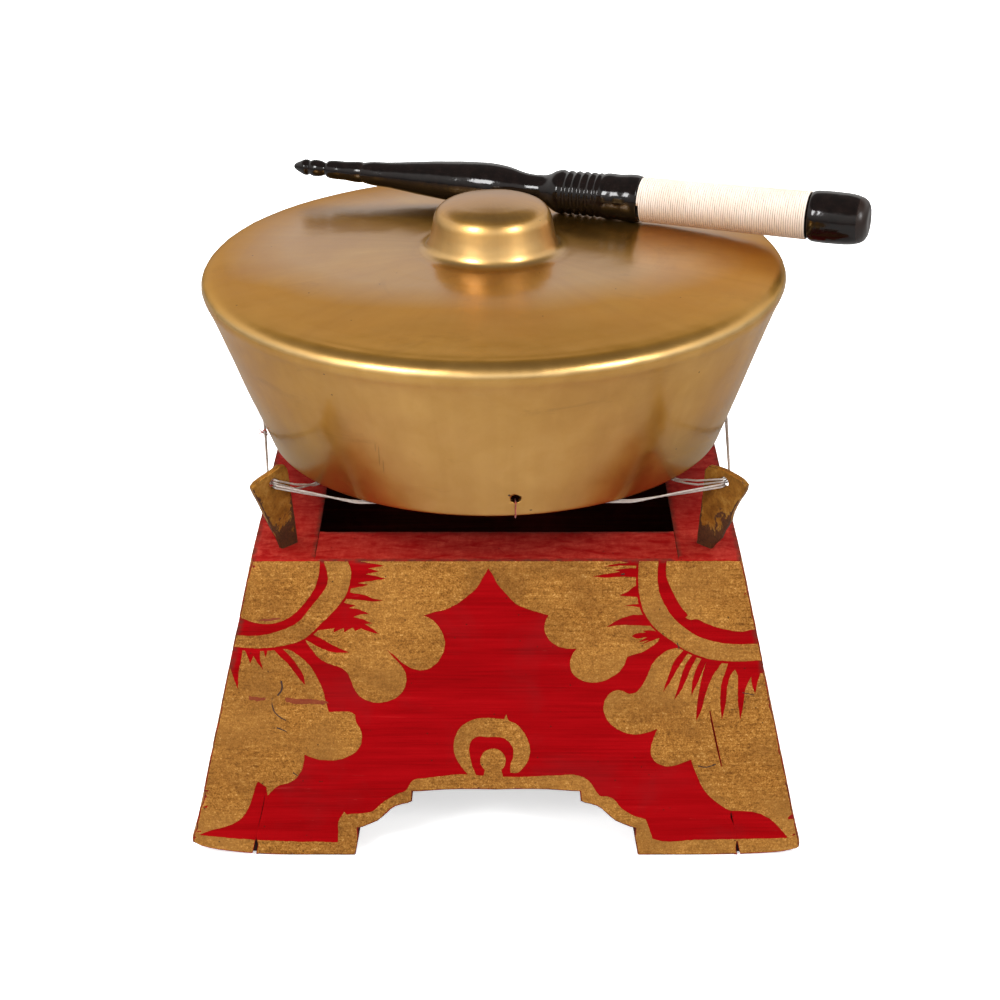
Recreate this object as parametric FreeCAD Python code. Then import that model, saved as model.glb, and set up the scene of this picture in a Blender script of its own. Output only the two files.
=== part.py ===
import FreeCAD, Part
import math
import os

# Horizontally mounted bossed gong on a corded wooden stand, with its mallet on top.
# Millimetres. +X is to the right, +Y to the rear, +Z up.
# Everything is laid out about the centre of the stand's square footprint, with
# z = 0 where the feet rest. Export moves it along X, so that the origin is the
# bottom centre of the whole part's bounding box, mallet included.

V = FreeCAD.Vector
ORIGIN = V(0, 0, 0)
UP = V(0, 0, 1)
EXPORT_SHIFT = V(-19.51, 0, 0)

# ---------------------------------------------------------------- stand sizes
STAND_H = 150.0
BASE_HALF = 154.0          # half of the square footprint
TOP_HALF = 119.5           # half of the square top
BOARD_T = 31.0             # board thickness, measured level
LEAN_SLOPE = (BASE_HALF - TOP_HALF) / STAND_H   # inward lean per mm of height
LEAN = math.atan(LEAN_SLOPE)

DOWEL_R = 3.95
DOWEL_HOLE_R = 4.0
DOWEL_L = 40.0
DOWEL_HOLE_L = DOWEL_L + 1.0
DOWEL_CHAMFER = 0.8
DOWEL_HEIGHTS = (46.0, 110.0)

PEG_T = 3.2                # thickness of the corner peg plates
PEG_TANG = 22.0            # how deep a peg's tang goes into its board
PEG_EYE_R = 2.7
MORTISE_GAP = 0.05
MORTISE_EXTRA_DEPTH = 0.3

# scalloped opening under each side: half outline, (across, height along the board)
ARCH = [
    (71.5, -1.0), (70.4, 5.0), (69.5, 10.0), (69.8, 14.6), (67.4, 15.2),
    (64.0, 16.6), (60.0, 18.4), (57.5, 20.4), (55.2, 22.6), (53.0, 24.8),
    (50.5, 26.4), (47.0, 27.5), (44.5, 28.0), (42.3, 29.0), (42.0, 34.2),
    (38.0, 34.3), (33.0, 34.7), (26.0, 35.2), (18.0, 35.4), (9.0, 35.4),
    (0.0, 35.2),
]

# Peg outlines above the stand, in the vertical plane of a corner's diagonal:
# (distance out from the centre line, height), from the outer edge to the inner.
PEG_A = [
    (150.2, STAND_H), (152.0, 155.3), (155.3, 162.5), (159.5, 172.2),
    (161.7, 177.9), (164.0, 182.9), (165.8, 187.5), (166.1, 188.6),
    (164.6, 189.8), (159.3, 191.6), (152.5, 193.2), (148.7, 194.4),
    (145.6, 193.6), (144.4, 191.3), (143.6, 186.5), (142.6, 175.5),
    (141.3, 163.0), (140.2, STAND_H),
]
PEG_B = [
    (150.6, STAND_H), (151.4, 151.6), (155.8, 157.3), (157.1, 160.9),
    (161.2, 169.5), (161.8, 172.4), (164.7, 179.5), (169.1, 188.3),
    (169.6, 190.8), (167.3, 192.3), (160.3, 193.9), (152.7, 194.4),
    (146.5, 193.6), (144.2, 191.1), (143.9, 185.4), (143.3, 175.1),
    (142.4, 164.5), (141.3, STAND_H),
]
EYE_A = (153.0, 186.5)
EYE_B = (156.3, 188.3)

# corner name: (sign of x, sign of y, peg outline, peg eye)
CORNERS = {
    "front_left": (-1, -1, PEG_A, EYE_A),
    "front_right": (1, -1, PEG_B, EYE_B),
    "rear_left": (-1, 1, PEG_B, EYE_B),
    "rear_right": (1, 1, PEG_A, EYE_A),
}

# ---------------------------------------------------------------- gong sizes
GONG_X, GONG_Y = -1.0, 0.0
GONG_TILT = -0.8           # degrees about +Y, left side lower
TILT_Z = 215.0             # height of the tilt axis
LIP_Z = 174.0
LIP_R = 120.0
SHELL_T = 3.0
WALL_SLOPE = 30.0 / 84.0   # radius gained per mm of height on the wall
WALL_ANGLE = math.atan(WALL_SLOPE)
GONG_HOLE_R = 2.6
GONG_HOLE_Z = 185.1
GONG_HOLE_AZIMUTH = math.radians(-85.4)
GONG_HOLE_DIR = V(math.cos(GONG_HOLE_AZIMUTH), math.sin(GONG_HOLE_AZIMUTH), 0)


def wall_radius(z):
    """Outer radius of the gong's wall at height z."""
    return LIP_R + (z - LIP_Z) * WALL_SLOPE


# outer profile from lip to crown, (radius, height)
GONG_OUTER = [
    (LIP_R, 174.9), (wall_radius(200.0), 200.0), (wall_radius(230.0), 230.0),
    (148.0, 251.4), (149.5, 254.7), (149.9, 257.2), (149.3, 259.7),
    (147.7, 261.8), (145.0, 263.2), (141.0, 264.0), (132.0, 264.9),
    (120.0, 265.9), (100.0, 267.2), (80.0, 268.2), (60.0, 269.0),
    (44.0, 269.4), (37.0, 269.7), (34.8, 270.5), (33.4, 272.3),
    (32.5, 275.0), (31.5, 279.0), (30.7, 283.0), (29.9, 286.4),
    (28.4, 289.2), (26.0, 291.4), (22.6, 292.9), (17.5, 294.0),
    (11.0, 294.9), (5.0, 295.4), (0.0, 295.6),
]

# ---------------------------------------------------------------- mallet sizes
# stick from the small finial to the wrap: (distance along the axis, radius)
STICK = [
    (0.0, 0.0), (0.0, 0.6), (0.6, 1.5), (2.0, 2.4), (4.0, 3.3), (5.8, 4.1),
    (7.3, 4.5), (8.6, 4.3), (9.6, 3.55), (10.4, 4.0), (12.0, 4.6),
    (14.0, 4.7), (17.0, 4.2), (19.2, 3.4), (20.2, 3.4), (20.7, 4.4),
    (21.8, 4.9), (24.0, 5.15), (31.0, 5.2), (41.3, 5.65), (42.5, 5.48),
    (43.7, 5.80), (59.0, 7.1), (75.6, 9.0), (90.0, 10.4), (100.0, 11.2),
    (110.6, 11.75), (118.0, 11.8), (122.5, 11.5), (127.0, 10.9),
    (131.0, 9.9), (135.0, 8.8), (139.0, 8.1), (145.0, 7.9), (149.5, 8.3),
    (152.5, 9.4), (155.0, 10.8), (157.0, 11.5),
    (159.3, 11.75), (161.6, 10.9), (163.5, 11.75), (165.8, 10.9),
    (167.7, 11.8), (170.0, 10.95), (171.9, 11.85), (174.2, 11.0),
    (176.1, 11.9), (178.3, 11.1), (179.9, 11.8), (181.2, 11.3),
    (182.6, 11.8), (190.0, 12.0), (201.6, 12.3), (202.7, 12.0),
]
# rounded end beyond the wrap, same columns
CAP = [
    (294.2, 12.5), (295.4, 13.0), (299.5, 13.35), (307.0, 13.4),
    (313.5, 13.15), (317.8, 12.5), (320.8, 11.4), (322.4, 10.2),
    (323.3, 8.8), (323.6, 0.0),
]
WRAP_START, WRAP_END = 203.0, 293.4
WRAP_START_R, WRAP_END_R = 11.85, 12.70
WRAP_T = 1.2
WRAP_CORE_GAP = 0.05
CORE_START_R, CORE_END_R = WRAP_START_R - WRAP_T, WRAP_END_R - WRAP_T

# where the mallet lies on the dome, level x and y in the gong's untilted frame
BULGE_XY, BULGE_R = (-8.2, 72.6), 11.78
COLLAR_XY, COLLAR_R = (78.8, 41.1), 12.3
BULGE_DISTANCE = 111.5     # middle of the bulge, along the stick
MALLET_GAP = 0.38

# ---------------------------------------------------------------- cord sizes
STRAND_R = 0.58            # one cord strand
PAIR_HALF = 0.70           # half the spacing of the two strands of a run
UNDER_LIP = LIP_Z - STRAND_R - 0.08    # strand centre under the lip
CORD_END = 0.4             # a cord ends in the eye, this far off the peg's mid plane
SIDE_CORD_OFFSET = 3.0     # distance from the peg's mid plane where the cord turns
END_CORD_OFFSET = 3.1
CROSS_CORD_OFFSET = 2.42
WALL_GAP = 0.12            # between a side cord and the gong's wall
WALL_STATIONS = 5          # corners of a side cord's path round the wall
LEFT_CORD_Z, RIGHT_CORD_Z = 180.2, 178.6
LOWER_CROSS_DROP = 1.75    # the lower cross cord passes this far below the upper

HOLE_THREAD_R = 0.35
BINDING_Y = -35.0
BINDING_L = 1.9
FRAY_R = 0.26
# frayed ends of the binding: (direction, length)
FRAYS = [
    (V(-1.0, -0.25, -0.10), 5.0),
    (V(-0.75, 0.1, 0.62), 5.4),
    (V(-0.9, 0.35, 0.30), 3.6),
]


# ---------------------------------------------------------------- helpers
def outward_solid(shape):
    """The single solid of a shape, turned so that its volume is positive."""
    if shape.ShapeType != "Solid":   # a sweep may come wrapped in a compound
        shape = shape.Solids[0]
    if shape.Volume < 0:
        shape.reverse()
    return shape


def closed_face(points):
    return Part.Face(Part.makePolygon(points + [points[0]]))


def prism(outline, origin, u, v, normal, depth):
    """Outline in the (u, v) plane at origin, extruded along normal."""
    return closed_face([origin + u * a + v * b for a, b in outline]).extrude(normal * depth)


def revolved(profile):
    """Closed (radius, height) profile turned about the Z axis."""
    face = closed_face([V(r, 0, z) for r, z in profile])
    return outward_solid(face.revolve(ORIGIN, UP, 360))


def hexahedron(bottom, top):
    """Solid between two quads given in the same order."""
    faces = [closed_face(bottom[::-1]), closed_face(top)]
    for i in range(4):
        j = (i + 1) % 4
        faces.append(closed_face([bottom[i], bottom[j], top[j], top[i]]))
    return outward_solid(Part.Solid(Part.Shell(faces)))


def rotated(shape, axis, degrees, centre):
    turned = shape.copy()
    turned.rotate(centre, axis, degrees)
    return turned


def tilted(shape):
    """Shape of the gong's untilted frame, moved to the resting tilt."""
    return rotated(shape, V(0, 1, 0), GONG_TILT, V(GONG_X, GONG_Y, TILT_Z))


def tilted_point(p):
    t = math.radians(GONG_TILT)
    x, z = p.x - GONG_X, p.z - TILT_Z
    return V(x * math.cos(t) + z * math.sin(t) + GONG_X, p.y,
             -x * math.sin(t) + z * math.cos(t) + TILT_Z)


def unit(vector):
    result = V(vector)
    result.normalize()
    return result


def blend(start, end, t):
    return start + (end - start) * t


def tube(points, radius, bend_radii):
    """Round bar along a polyline, with one bend radius per inner point."""
    path, bends = [points[0]], []
    for i in range(1, len(points) - 1):
        before = points[i] - path[-1]
        after = points[i + 1] - points[i]
        if math.degrees(before.getAngle(after)) < 0.05:
            continue   # too straight to need a bend
        path.append(points[i])
        bends.append(bend_radii[i - 1])
    path.append(points[-1])

    edges = []
    last = path[0]
    for i in range(1, len(path) - 1):
        corner = path[i]
        back, ahead = path[i - 1] - corner, path[i + 1] - corner
        back_l, ahead_l = back.Length, ahead.Length
        back, ahead = unit(back), unit(ahead)
        half = back.getAngle(ahead) / 2
        # shortened where the neighbouring legs leave too little room
        setback = min(bends[i - 1] / math.tan(half), 0.45 * back_l, 0.45 * ahead_l)
        bend = setback * math.tan(half)
        arc_start, arc_end = corner + back * setback, corner + ahead * setback
        arc_mid = corner + unit(back + ahead) * (bend / math.sin(half) - bend)
        edges.append(Part.LineSegment(last, arc_start).toShape())
        edges.append(Part.Arc(arc_start, arc_mid, arc_end).toShape())
        last = arc_end
    edges.append(Part.LineSegment(last, path[-1]).toShape())
    disc = Part.Face(Part.Wire(Part.makeCircle(radius, path[0], path[1] - path[0])))
    return outward_solid(Part.Wire(edges).makePipe(disc))


def strand_pair(points, turns, bend_radii):
    """Two strands side by side along a path. turns holds the angle of the
    pair about the path at each point, 90 when one is above the other."""
    first, second = [], []
    for i, p in enumerate(points):
        along = V(0, 0, 0)
        if i > 0:
            along = along + unit(p - points[i - 1])
        if i < len(points) - 1:
            along = along + unit(points[i + 1] - p)
        along = unit(along)
        level = unit(along.cross(UP))
        upright = level.cross(along)
        turn = math.radians(turns[i])
        offset = (level * math.cos(turn) + upright * math.sin(turn)) * PAIR_HALF
        first.append(p + offset)
        second.append(p - offset)
    return Part.makeCompound([tube(first, STRAND_R, bend_radii),
                              tube(second, STRAND_R, bend_radii)])


# ---------------------------------------------------------------- corners
def corner_axes(corner):
    """Outward diagonal, and the peg's normal facing the front or rear."""
    sx, sy = CORNERS[corner][:2]
    r = math.sqrt(0.5)
    return V(sx * r, sy * r, 0), V(-sx * r, sy * r, 0)


def dowel_cylinders(corner, radius, length):
    """Level cylinders along X, centred on the corner's joint."""
    sx, sy = CORNERS[corner][:2]
    cylinders = []
    for z in DOWEL_HEIGHTS:
        half = BASE_HALF - LEAN_SLOPE * z
        start = V(sx * (half - BOARD_T) - length / 2, sy * (half - BOARD_T / 2), z)
        cylinders.append(Part.makeCylinder(radius, length, start, V(1, 0, 0)))
    return cylinders


def corner_dowels(corner):
    pins = []
    for pin in dowel_cylinders(corner, DOWEL_R, DOWEL_L):
        rims = [e for e in pin.Edges if e.Curve.TypeId == "Part::GeomCircle"]
        pins.append(pin.makeChamfer(DOWEL_CHAMFER, rims))
    return Part.makeCompound(pins)


def tang_outline(outline, gap=0.0, extra_depth=0.0):
    """Tapered tang below the stand's top, from the inner side to the outer."""
    outer, inner = outline[0][0] + gap, outline[-1][0] - gap
    bottom = STAND_H - PEG_TANG
    return [(inner - 0.4, bottom + 3), (inner + 2.0, bottom - extra_depth),
            (outer - 3.0, bottom - extra_depth), (outer - 1.2, bottom + 3)]


def cord_peg(corner):
    outline, eye = CORNERS[corner][2:]
    out, normal = corner_axes(corner)
    plate = prism(outline + tang_outline(outline), normal * (-PEG_T / 2),
                  out, UP, normal, PEG_T)
    bore_start = out * eye[0] + V(0, 0, eye[1]) - normal * 10
    return plate.cut(Part.makeCylinder(PEG_EYE_R, 20, bore_start, normal))


def mortise(corner):
    """Slot for the peg's tang, open through the stand's top."""
    outline = CORNERS[corner][2]
    out, normal = corner_axes(corner)
    gap = MORTISE_GAP
    outer, inner = outline[0][0] + gap, outline[-1][0] - gap
    slot = ([(outer, STAND_H + 1), (outer, STAND_H)]
            + tang_outline(outline, gap, MORTISE_EXTRA_DEPTH)[::-1]
            + [(inner, STAND_H), (inner, STAND_H + 1)])
    return prism(slot, normal * (-PEG_T / 2 - gap), out, UP, normal, PEG_T + 2 * gap)


# ---------------------------------------------------------------- boards
def arch_cut(degrees):
    """Opening cut square to the leaning front board, turned about Z."""
    outline = ARCH + [(-a, b) for a, b in reversed(ARCH[:-1])]
    up_board = V(0, math.sin(LEAN), math.cos(LEAN))
    inward = V(0, math.cos(LEAN), -math.sin(LEAN))
    cut = prism(outline, V(0, -BASE_HALF, 0) - inward * 6.0,
                V(1, 0, 0), up_board, inward, 70.0)
    # keeps the opening clear below the feet's plane
    half_width = ARCH[0][0]
    cut = cut.fuse(Part.makeBox(2 * half_width, 90, 25,
                                V(-half_width, -BASE_HALF - 20, -25)))
    return rotated(cut, UP, degrees, ORIGIN)


def leaning_board(section, arch_degrees, corners):
    """Board between two level sections, with its opening and dowel holes."""
    board = hexahedron(section(0, BASE_HALF), section(STAND_H, TOP_HALF))
    board = board.cut(arch_cut(arch_degrees))
    for corner in corners:
        for hole in dowel_cylinders(corner, DOWEL_HOLE_R, DOWEL_HOLE_L):
            board = board.cut(hole)
    return board


def side_board(sx):
    """Full-length left (-1) or right (1) board, which also holds the pegs."""
    def section(z, half):
        outer, inner = sx * half, sx * (half - BOARD_T)
        return [V(outer, outer, z), V(inner, outer, z),
                V(inner, -outer, z), V(outer, -outer, z)]

    corners = [name for name in CORNERS if CORNERS[name][0] == sx]
    board = leaning_board(section, 90 * sx, corners)
    for corner in corners:
        board = board.cut(mortise(corner))
    return board


def end_panel(sy):
    """Front (-1) or rear (1) panel, set between the side boards."""
    def section(z, half):
        x = half - BOARD_T
        y0, y1 = sorted((sy * half, sy * x))
        return [V(-x, y0, z), V(x, y0, z), V(x, y1, z), V(-x, y1, z)]

    corners = [name for name in CORNERS if CORNERS[name][1] == sy]
    return leaning_board(section, 0 if sy < 0 else 180, corners)


# ---------------------------------------------------------------- gong
def offset_inward(profile, distance):
    """Profile moved square to itself, the crown straight down."""
    moved = []
    last = len(profile) - 1
    for i, (r, z) in enumerate(profile):
        before, after = profile[max(i - 1, 0)], profile[min(i + 1, last)]
        dr, dz = after[0] - before[0], after[1] - before[1]
        if i == last:
            dr, dz = -1.0, 0.0
        length = math.hypot(dr, dz)
        moved.append((r - dz / length * distance, z + dr / length * distance))
    return moved


def gong_bowl():
    inner = offset_inward(GONG_OUTER, SHELL_T)
    lip_inner_r = inner[0][0]
    lip = [(lip_inner_r, GONG_OUTER[0][1]), (lip_inner_r + 0.5, 174.25),
           (118.3, LIP_Z), (119.0, LIP_Z), (119.65, 174.25)]
    bowl = revolved(inner[:0:-1] + lip + GONG_OUTER)
    bowl = bowl.cut(Part.makeCylinder(
        GONG_HOLE_R, 30, GONG_HOLE_DIR * 108 + V(0, 0, GONG_HOLE_Z), GONG_HOLE_DIR))
    bowl.translate(V(GONG_X, GONG_Y, 0))
    return tilted(bowl)


def gong_hole_thread():
    """Thin thread through the small wall hole and round the lip."""
    hole_z = GONG_HOLE_Z - GONG_HOLE_R + HOLE_THREAD_R + 0.12
    hole_r, lip_r = wall_radius(hole_z), wall_radius(174.6)
    wall_t = SHELL_T / math.cos(WALL_ANGLE)      # measured level
    loop = [(hole_r - wall_t / 2 + 0.55, hole_z), (hole_r + 0.6, hole_z),
            (lip_r + 0.75, 174.4), (119.9, 173.15), (118.5, 172.9), (117.2, 173.1),
            (lip_r - wall_t - 0.75, 174.6),
            (hole_r - wall_t - 0.6, hole_z), (hole_r - wall_t / 2 - 0.55, hole_z)]
    points = [tilted_point(GONG_HOLE_DIR * r + V(GONG_X, GONG_Y, z)) for r, z in loop]
    return tube(points, HOLE_THREAD_R, [0.5] * (len(loop) - 2))


# ---------------------------------------------------------------- mallet
def above_dome(xy, radius):
    """Axis point of a mallet section of this radius resting on the dome."""
    x, y = xy
    r = math.hypot(x - GONG_X, y - GONG_Y)
    for (outer_r, outer_z), (inner_r, inner_z) in zip(GONG_OUTER, GONG_OUTER[1:]):
        if inner_r <= r <= outer_r:
            dome_z = inner_z + (outer_z - inner_z) * (r - inner_r) / (outer_r - inner_r)
            return V(x, y, dome_z + radius + MALLET_GAP)


def laid_on_gong(shape):
    """Moves a shape turned about Z onto the mallet's resting axis."""
    bulge = above_dome(BULGE_XY, BULGE_R)
    axis = unit(above_dome(COLLAR_XY, COLLAR_R) - bulge)
    place = FreeCAD.Placement(bulge - axis * BULGE_DISTANCE, FreeCAD.Rotation(UP, axis))
    return tilted(shape.transformGeometry(place.toMatrix()))


def mallet_stick():
    core = [(WRAP_START - 0.25, 11.6), (WRAP_START - 0.2, CORE_START_R - WRAP_CORE_GAP),
            (WRAP_END + 0.2, CORE_END_R - WRAP_CORE_GAP), (WRAP_END + 0.25, 12.0)]
    return laid_on_gong(revolved([(r, s) for s, r in STICK + core + CAP]))


def mallet_cord_wrap():
    return laid_on_gong(revolved([
        (CORE_START_R, WRAP_START), (WRAP_START_R - 0.35, WRAP_START),
        (WRAP_START_R, WRAP_START + 0.5), (WRAP_END_R, WRAP_END - 0.5),
        (WRAP_END_R - 0.35, WRAP_END), (CORE_END_R, WRAP_END)]))


# ---------------------------------------------------------------- cords
def eye_point(corner, offset, rise=0.0):
    """Point at a peg's eye; a positive offset is on its front or rear face."""
    eye = CORNERS[corner][3]
    out, normal = corner_axes(corner)
    return out * eye[0] + V(0, 0, eye[1] + rise) + normal * offset


def end_cord(sy):
    """Run under the front (-1) or rear (1) of the lip, left peg to right peg."""
    if sy < 0:
        left_peg, right_peg = "front_left", "front_right"
        left_y, right_y, left_r = -100.0, -103.5, 121.2
    else:
        left_peg, right_peg = "rear_left", "rear_right"
        left_y, right_y, left_r = 104.5, 104.5, 123.4
    right_r = 123.4
    left_x = math.sqrt(left_r ** 2 - left_y ** 2)
    right_x = math.sqrt(right_r ** 2 - right_y ** 2)
    left_eye = eye_point(left_peg, END_CORD_OFFSET, -1.30)
    right_eye = eye_point(right_peg, END_CORD_OFFSET, -1.30)
    left_lip = tilted_point(V(GONG_X - left_x, left_y, UNDER_LIP - 0.35))
    right_lip = tilted_point(V(GONG_X + right_x, right_y, UNDER_LIP))
    points = [eye_point(left_peg, CORD_END, -1.27), left_eye,
              blend(left_eye, left_lip, 0.45), left_lip,
              right_lip, blend(right_eye, right_lip, 0.45),
              right_eye, eye_point(right_peg, CORD_END, -1.27)]
    return strand_pair(points, [90, 90, 45, 0, 0, 45, 90, 90], [1.5, 40, 14, 14, 40, 1.5])


def cross_cord_head(corner):
    """Path of a cross cord from its peg's eye to the gong's lip."""
    out, normal = corner_axes(corner)
    eye = eye_point(corner, CROSS_CORD_OFFSET, 1.32)
    swing = math.radians(4.5) * (1 if out.x * out.y > 0 else -1)
    azimuth = math.atan2(out.y, out.x) - swing
    lip_dir = V(math.cos(azimuth), math.sin(azimuth), 0)
    lip = tilted_point(lip_dir * 121.6 + normal * 2.0
                       + V(GONG_X, GONG_Y, UNDER_LIP - 0.2))
    # leaves the peg along its face before heading for the lip
    clear = out * 141.0 + normal * CROSS_CORD_OFFSET + V(0, 0, eye.z * 0.90 + lip.z * 0.10)
    return [eye_point(corner, CORD_END, 1.30), eye, clear, blend(clear, lip, 0.5), lip]


def cross_cord(start, end, drop):
    """Diagonal run beneath the gong, from one corner peg to the opposite."""
    middle = tilted_point(V(GONG_X, GONG_Y, UNDER_LIP - drop))
    points = cross_cord_head(start) + [middle] + cross_cord_head(end)[::-1]
    return strand_pair(points, [90, 90, 90, 45, 0, 0, 0, 45, 90, 90, 90],
                       [1.2, 4, 10, 5, 60, 5, 10, 4, 1.2])


def side_cord_path(sx, z):
    """Points, turns and bends of the run round the outside of the gong's
    wall on the left (-1) or right (1), from front peg to rear peg."""
    side = "left" if sx < 0 else "right"
    front_peg, rear_peg = "front_" + side, "rear_" + side
    r = wall_radius(z) + (STRAND_R + WALL_GAP) / math.cos(WALL_ANGLE)
    front_eye = eye_point(front_peg, -SIDE_CORD_OFFSET)
    rear_eye = eye_point(rear_peg, -SIDE_CORD_OFFSET)

    def tangent_azimuth(eye, sign):
        dx, dy = eye.x - GONG_X, eye.y - GONG_Y
        azimuth = math.atan2(dy, dx)
        if sx < 0:
            azimuth %= 2 * math.pi   # keeps the left side's sweep continuous
        return azimuth + sign * math.acos(r / math.hypot(dx, dy))

    start = tangent_azimuth(front_eye, sx)
    sweep = tangent_azimuth(rear_eye, -sx) - start
    legs = WALL_STATIONS - 1
    inner_r = r / math.cos(sweep / (2 * legs))
    end_r = r / math.cos(sweep / (4 * legs))
    arc = []
    for i in range(WALL_STATIONS):
        azimuth = start + sweep * i / legs
        q = inner_r if 0 < i < legs else end_r
        arc.append(tilted_point(V(GONG_X + q * math.cos(azimuth),
                                  GONG_Y + q * math.sin(azimuth), z)))
    points = ([eye_point(front_peg, -CORD_END), front_eye] + arc
              + [rear_eye, eye_point(rear_peg, -CORD_END)])
    wall_turn = 90 - sx * math.degrees(WALL_ANGLE)
    turns = [90, 90] + [wall_turn] * WALL_STATIONS + [90, 90]
    return points, turns, [1.5] + [r - 1] * WALL_STATIONS + [1.5]


def cord_binding_thread():
    """Thread binding the two strands of the left cord, with frayed ends."""
    points = side_cord_path(-1, LEFT_CORD_Z)[0]
    leg = points[2] - points[1]
    centre = points[1] + leg * ((BINDING_Y - points[1].y) / leg.y)
    along = unit(leg)
    level = unit(along.cross(UP))
    upright = level.cross(along)
    # the pair is already partly turned to the wall's slope here
    turn = WALL_ANGLE * 0.82
    across = level * math.cos(turn) + upright * math.sin(turn)
    pair_dir = upright * math.cos(turn) - level * math.sin(turn)

    def stadium(r, length):
        start = centre - along * (length / 2)
        first = Part.makeCylinder(r, length, start + pair_dir * PAIR_HALF, along)
        second = Part.makeCylinder(r, length, start - pair_dir * PAIR_HALF, along)
        middle = prism([(-r, -PAIR_HALF), (r, -PAIR_HALF), (r, PAIR_HALF), (-r, PAIR_HALF)],
                       start, across, pair_dir, along, length)
        return first.fuse([second, middle]).removeSplitter()

    binding = stadium(STRAND_R + 0.52, BINDING_L).cut(stadium(STRAND_R + 0.16, 3.0))
    fray_start = centre - V(STRAND_R + 0.42, 0, 0)
    for direction, length in FRAYS:
        binding = binding.fuse(Part.makeCylinder(FRAY_R, length, fray_start, unit(direction)))
    return binding.removeSplitter()


# ---------------------------------------------------------------- export
pieces = {
    "left_side_board": side_board(-1),
    "right_side_board": side_board(1),
    "front_panel": end_panel(-1),
    "rear_panel": end_panel(1),
    "front_cord": end_cord(-1),
    "rear_cord": end_cord(1),
    "left_cord": strand_pair(*side_cord_path(-1, LEFT_CORD_Z)),
    "right_cord": strand_pair(*side_cord_path(1, RIGHT_CORD_Z)),
    "cross_cord_upper": cross_cord("front_left", "rear_right", 0.0),
    "cross_cord_lower": cross_cord("front_right", "rear_left", LOWER_CROSS_DROP),
    "cord_binding_thread": cord_binding_thread(),
    "gong_bowl": gong_bowl(),
    "gong_hole_thread": gong_hole_thread(),
    "mallet_stick": mallet_stick(),
    "mallet_cord_wrap": mallet_cord_wrap(),
}
for corner in CORNERS:
    pieces["cord_peg_" + corner] = cord_peg(corner)
    pieces["corner_dowels_" + corner] = corner_dowels(corner)

os.makedirs("parts", exist_ok=True)
for name, shape in pieces.items():
    moved = shape.copy()
    moved.translate(EXPORT_SHIFT)
    moved.exportStep(os.path.join("parts", name + ".step"))
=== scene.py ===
import math
import random

import bmesh
import bpy
import numpy as np
from mathutils import Vector, Matrix, noise
from mathutils.geometry import delaunay_2d_cdt

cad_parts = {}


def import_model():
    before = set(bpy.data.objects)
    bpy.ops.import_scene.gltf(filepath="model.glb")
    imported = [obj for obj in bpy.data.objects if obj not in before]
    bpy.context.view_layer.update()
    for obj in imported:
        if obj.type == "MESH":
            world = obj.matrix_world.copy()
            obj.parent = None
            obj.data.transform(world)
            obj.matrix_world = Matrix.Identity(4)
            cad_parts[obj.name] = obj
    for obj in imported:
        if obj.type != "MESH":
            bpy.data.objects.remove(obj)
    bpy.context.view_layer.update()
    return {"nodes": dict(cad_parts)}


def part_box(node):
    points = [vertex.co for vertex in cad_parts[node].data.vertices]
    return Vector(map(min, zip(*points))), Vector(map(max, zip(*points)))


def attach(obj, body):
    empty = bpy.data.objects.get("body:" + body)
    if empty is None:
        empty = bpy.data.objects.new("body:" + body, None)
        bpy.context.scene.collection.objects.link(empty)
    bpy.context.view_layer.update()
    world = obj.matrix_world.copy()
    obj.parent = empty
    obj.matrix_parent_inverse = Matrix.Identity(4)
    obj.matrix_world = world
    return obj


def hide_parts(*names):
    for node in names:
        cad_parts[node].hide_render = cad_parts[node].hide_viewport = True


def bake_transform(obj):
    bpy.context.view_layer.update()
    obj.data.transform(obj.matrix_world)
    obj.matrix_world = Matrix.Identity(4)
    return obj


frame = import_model()
RNG = random.Random(11)

# The geometry below is laid out in mm about the centre of the stand's footprint.
_l, _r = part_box("left_side_board"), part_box("right_side_board")
OFF = Vector(((_l[0].x + _r[1].x) / 2, (_l[0].y + _r[1].y) / 2, _l[0].z))


def V(x, y, z):
    return Vector((x, y, z))


def world(p):
    return (p[0] * 0.001 + OFF.x, p[1] * 0.001 + OFF.y, p[2] * 0.001 + OFF.z)


# ------------------------------------------------------------------ CAD values
STAND_H = _l[1].z * 1000.0
BASE_HALF = 154.0
TOP_HALF = 119.5
BOARD_T = 31.0
S = (BASE_HALF - TOP_HALF) / STAND_H
LEAN = math.atan(S)
CL, SL = math.cos(LEAN), math.sin(LEAN)
TP = BOARD_T * CL
V_TOP = STAND_H / CL
V_IN = TP * math.tan(LEAN)
PEG_T = 3.2
PEG_TANG = 22.0
STRAND_R = 0.58
PAIR_HALF = 0.70
GONG_X, GONG_Y = -1.0, 0.0
GONG_TILT = -0.8
TILT_Z = 215.0
LIP_Z = 174.0
LIP_R = 120.0
SHELL_T = 3.0
WALL_SLOPE = 30.0 / 84.0
GONG_HOLE_R = 2.6
GONG_HOLE_Z = 185.1
GONG_HOLE_AZ = -85.4
R2 = math.sqrt(0.5)

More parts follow.
